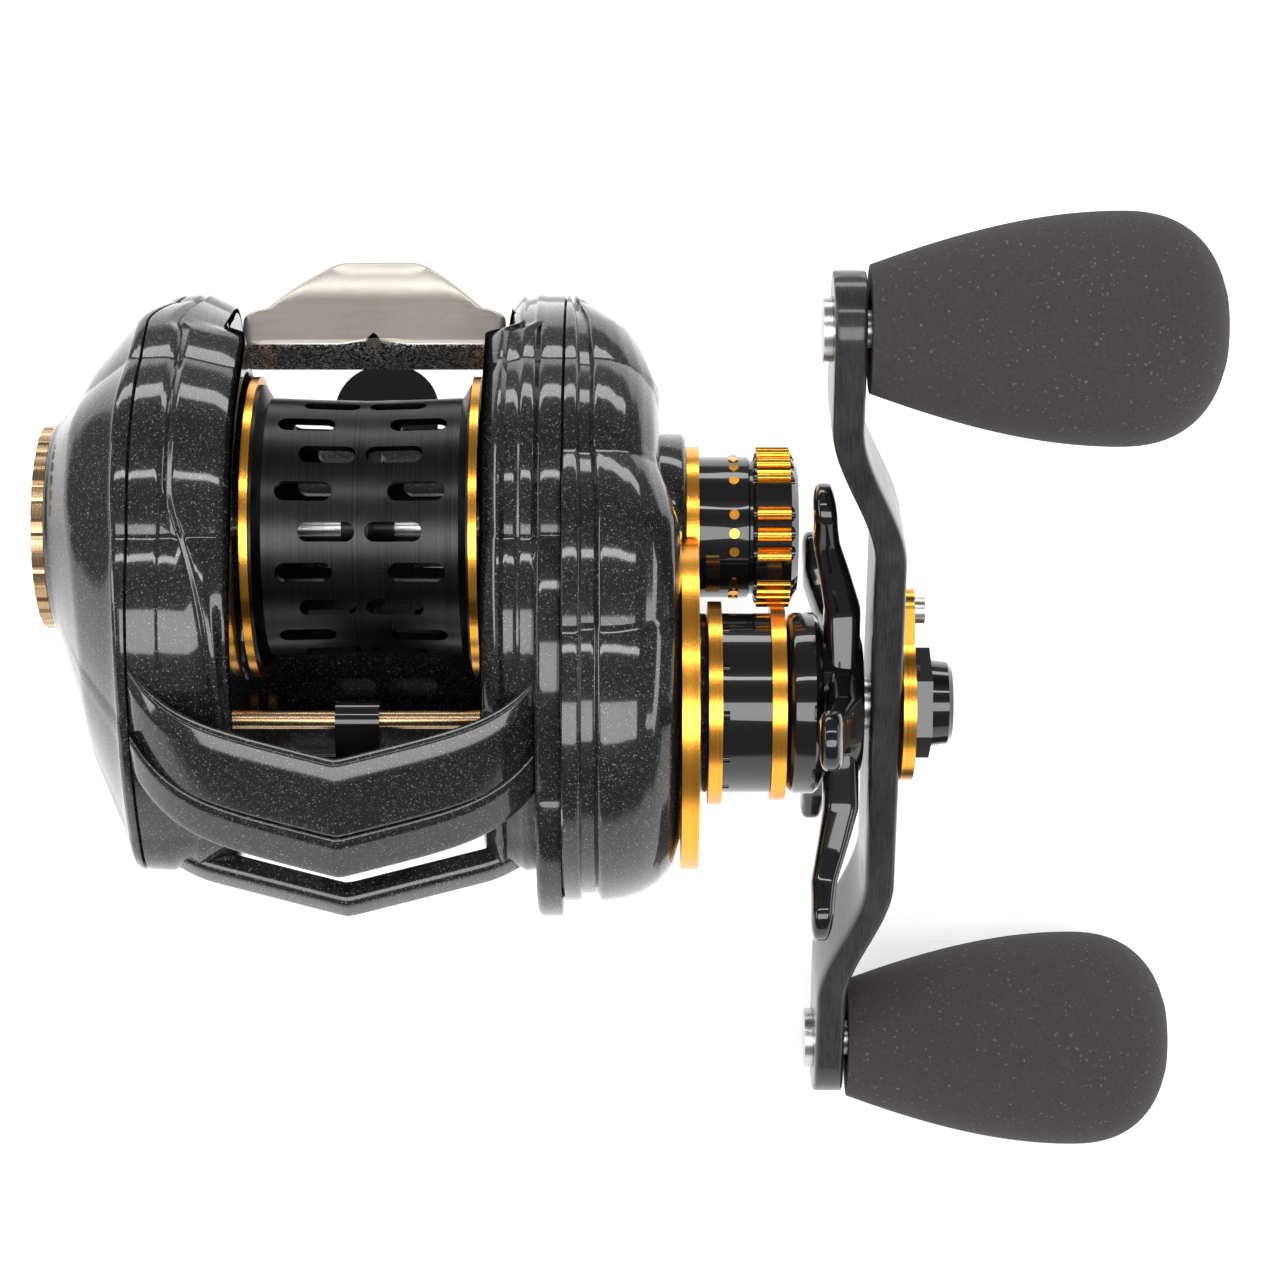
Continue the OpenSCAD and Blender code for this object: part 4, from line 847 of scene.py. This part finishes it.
outside = [bulge(0, 0.0, 0.5), bulge(0, 0.02, 0.05), bulge(0, 0.05), bulge(0.01, 0.16), bulge(0.03, 0.22),
           bulge(0.05, 0.24), bulge(0.10, 0.31), bulge(0.30, 0.60), bulge(0.44, 0.76), bulge(0.48, 0.79),
           bulge(0.60, 0.845), bulge(0.80, 0.93), bulge(0.93, 0.985), bulge(0.98, 1.03), bulge(1.0, 1.04)]
outside += [station(palm_top - 0.35, collar - 0.3), station(palm_top + 1.6, collar - 0.35)]
inside = [station(palm_top + 3, collar - 0.3), bulge(0.8, 0.72), bulge(0.5, 0.55), bulge(0.3, 0.38),
          bulge(0.12, 0.12), bulge(0.08, 0.0, 0.3)]
hub = np.array([(palm_top + 0.6, 1.6), (palm_top + 0.6, 11), (palm_top + 3.2, 11), (palm_top + 3.2, 5.6),
                (-26, 5.6), (-26, 4.6), (-28.3, 4.6), (-28.3, 1.6)])
lock_ring = np.array([(palm_top + 5.5, 15.7), (palm_top + 5.5, 17.1), (-21.6, 17.1), (-21.5, 16.9),
                      (-21.5, 15.7)])
skin("palm_shell", [
    (filled(outside + inside) * mm, True, True),
    (revolved(hub * mm, spool_axis), True, True), (revolved(lock_ring * mm, spool_axis), True, True)
], paint, "palm_cover", "palm_side_plate", sharp=50, slot="body_paint")


# ---------------------------------------------------------------- handle side plate
# The handle-side plate covers the gears. A narrow glossy channel runs round it beside the parting
# edge, then the wide face swells and falls away to the rear.


def plate_height(rho):
    """How far the plate stands out at each y: furthest over the gear, less over the spool's end, and down
    to the parting at the rear."""
    y = rho * np.cos(turn)
    return np.interp(y, [-43, -8, 1, 12, 20, 25, 28.3], [12.9, 12.9, 10.7, 10.6, 8.4, 4.6, 1.9])


def plate_row(inset, height):
    rho = plate_reach - inset
    return station(case_face + plate_height(rho) * height, rho)


face_rows = [plate_row(0.5, 0), plate_row(0.05, 0.015), plate_row(0, 0.04), plate_row(0, 0.13),
             plate_row(0.15, 0.15), plate_row(0.75, 0.17), plate_row(0.85, 0.27), plate_row(0.1, 0.32),
             plate_row(0.0, 0.35), plate_row(0.25, 0.5), plate_row(0.9, 0.66), plate_row(2.0, 0.80),
             plate_row(3.6, 0.91), plate_row(4.2, 0.935), plate_row(6.5, 0.985), plate_row(8.5, 1.0)]
for share in (0.8, 0.6, 0.45):
    rho = (plate_reach - 8.5) * share + 2 * (1 - share)
    face_rows.append(station(case_face + plate_height(rho), rho))
face_rows += [station(33, 3.3), station(31, 3.3)]
for share in (0.45, 0.7, 0.9):
    rho = (plate_reach - 9) * share + 2 * (1 - share)
    face_rows.append(station(case_face + plate_height(rho) - 1.6, rho))
face_rows += [plate_row(4.5, 0.72), plate_row(2.2, 0.45), plate_row(2, 0.12)]
flange = np.minimum(plate_reach, case_reach) - 2.6
face_rows += [station(case_face + 0.9, flange), station(case_face - 0.1, flange), plate_row(1.2, 0)]
boss = np.array([(32.6, 6), (32.6, 10.6), (35.3, 10.6), (35.8, 10.1), (35.8, 4.5), (37, 4.5), (37, 3.3)])
neck = np.array([(33.4, 3.2), (33.4, 5.9), (44.8, 5.9), (45.1, 5.6), (45.1, 3.2)])
seat = np.array([(34, 8.1), (34, 15.2), (36.1, 15.2), (36.4, 14.9), (36.4, 10.1), (37.9, 10.0), (38.1, 9.8),
                 (38.1, 8.1)])
skin("gear_shell", [
    (filled(face_rows) * mm, True, True), (revolved(boss * mm, spool_axis), True, True),
    (revolved(neck * mm, spool_axis), True, True), (revolved(seat * mm, drive_axis), True, True)
], paint, "chassis", "gear_side_plate", sharp=50, slot="body_paint")


# ---------------------------------------------------------------- eased castings
# The foot is stamped and the line guide is cast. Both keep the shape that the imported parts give
# them, and only their edges are broken.
for name, radius, finish in (("reel_foot", 0.2 * mm, gloss), ("line_guide", 0.25 * mm, gloss)):
    eased(name, radius, finish)
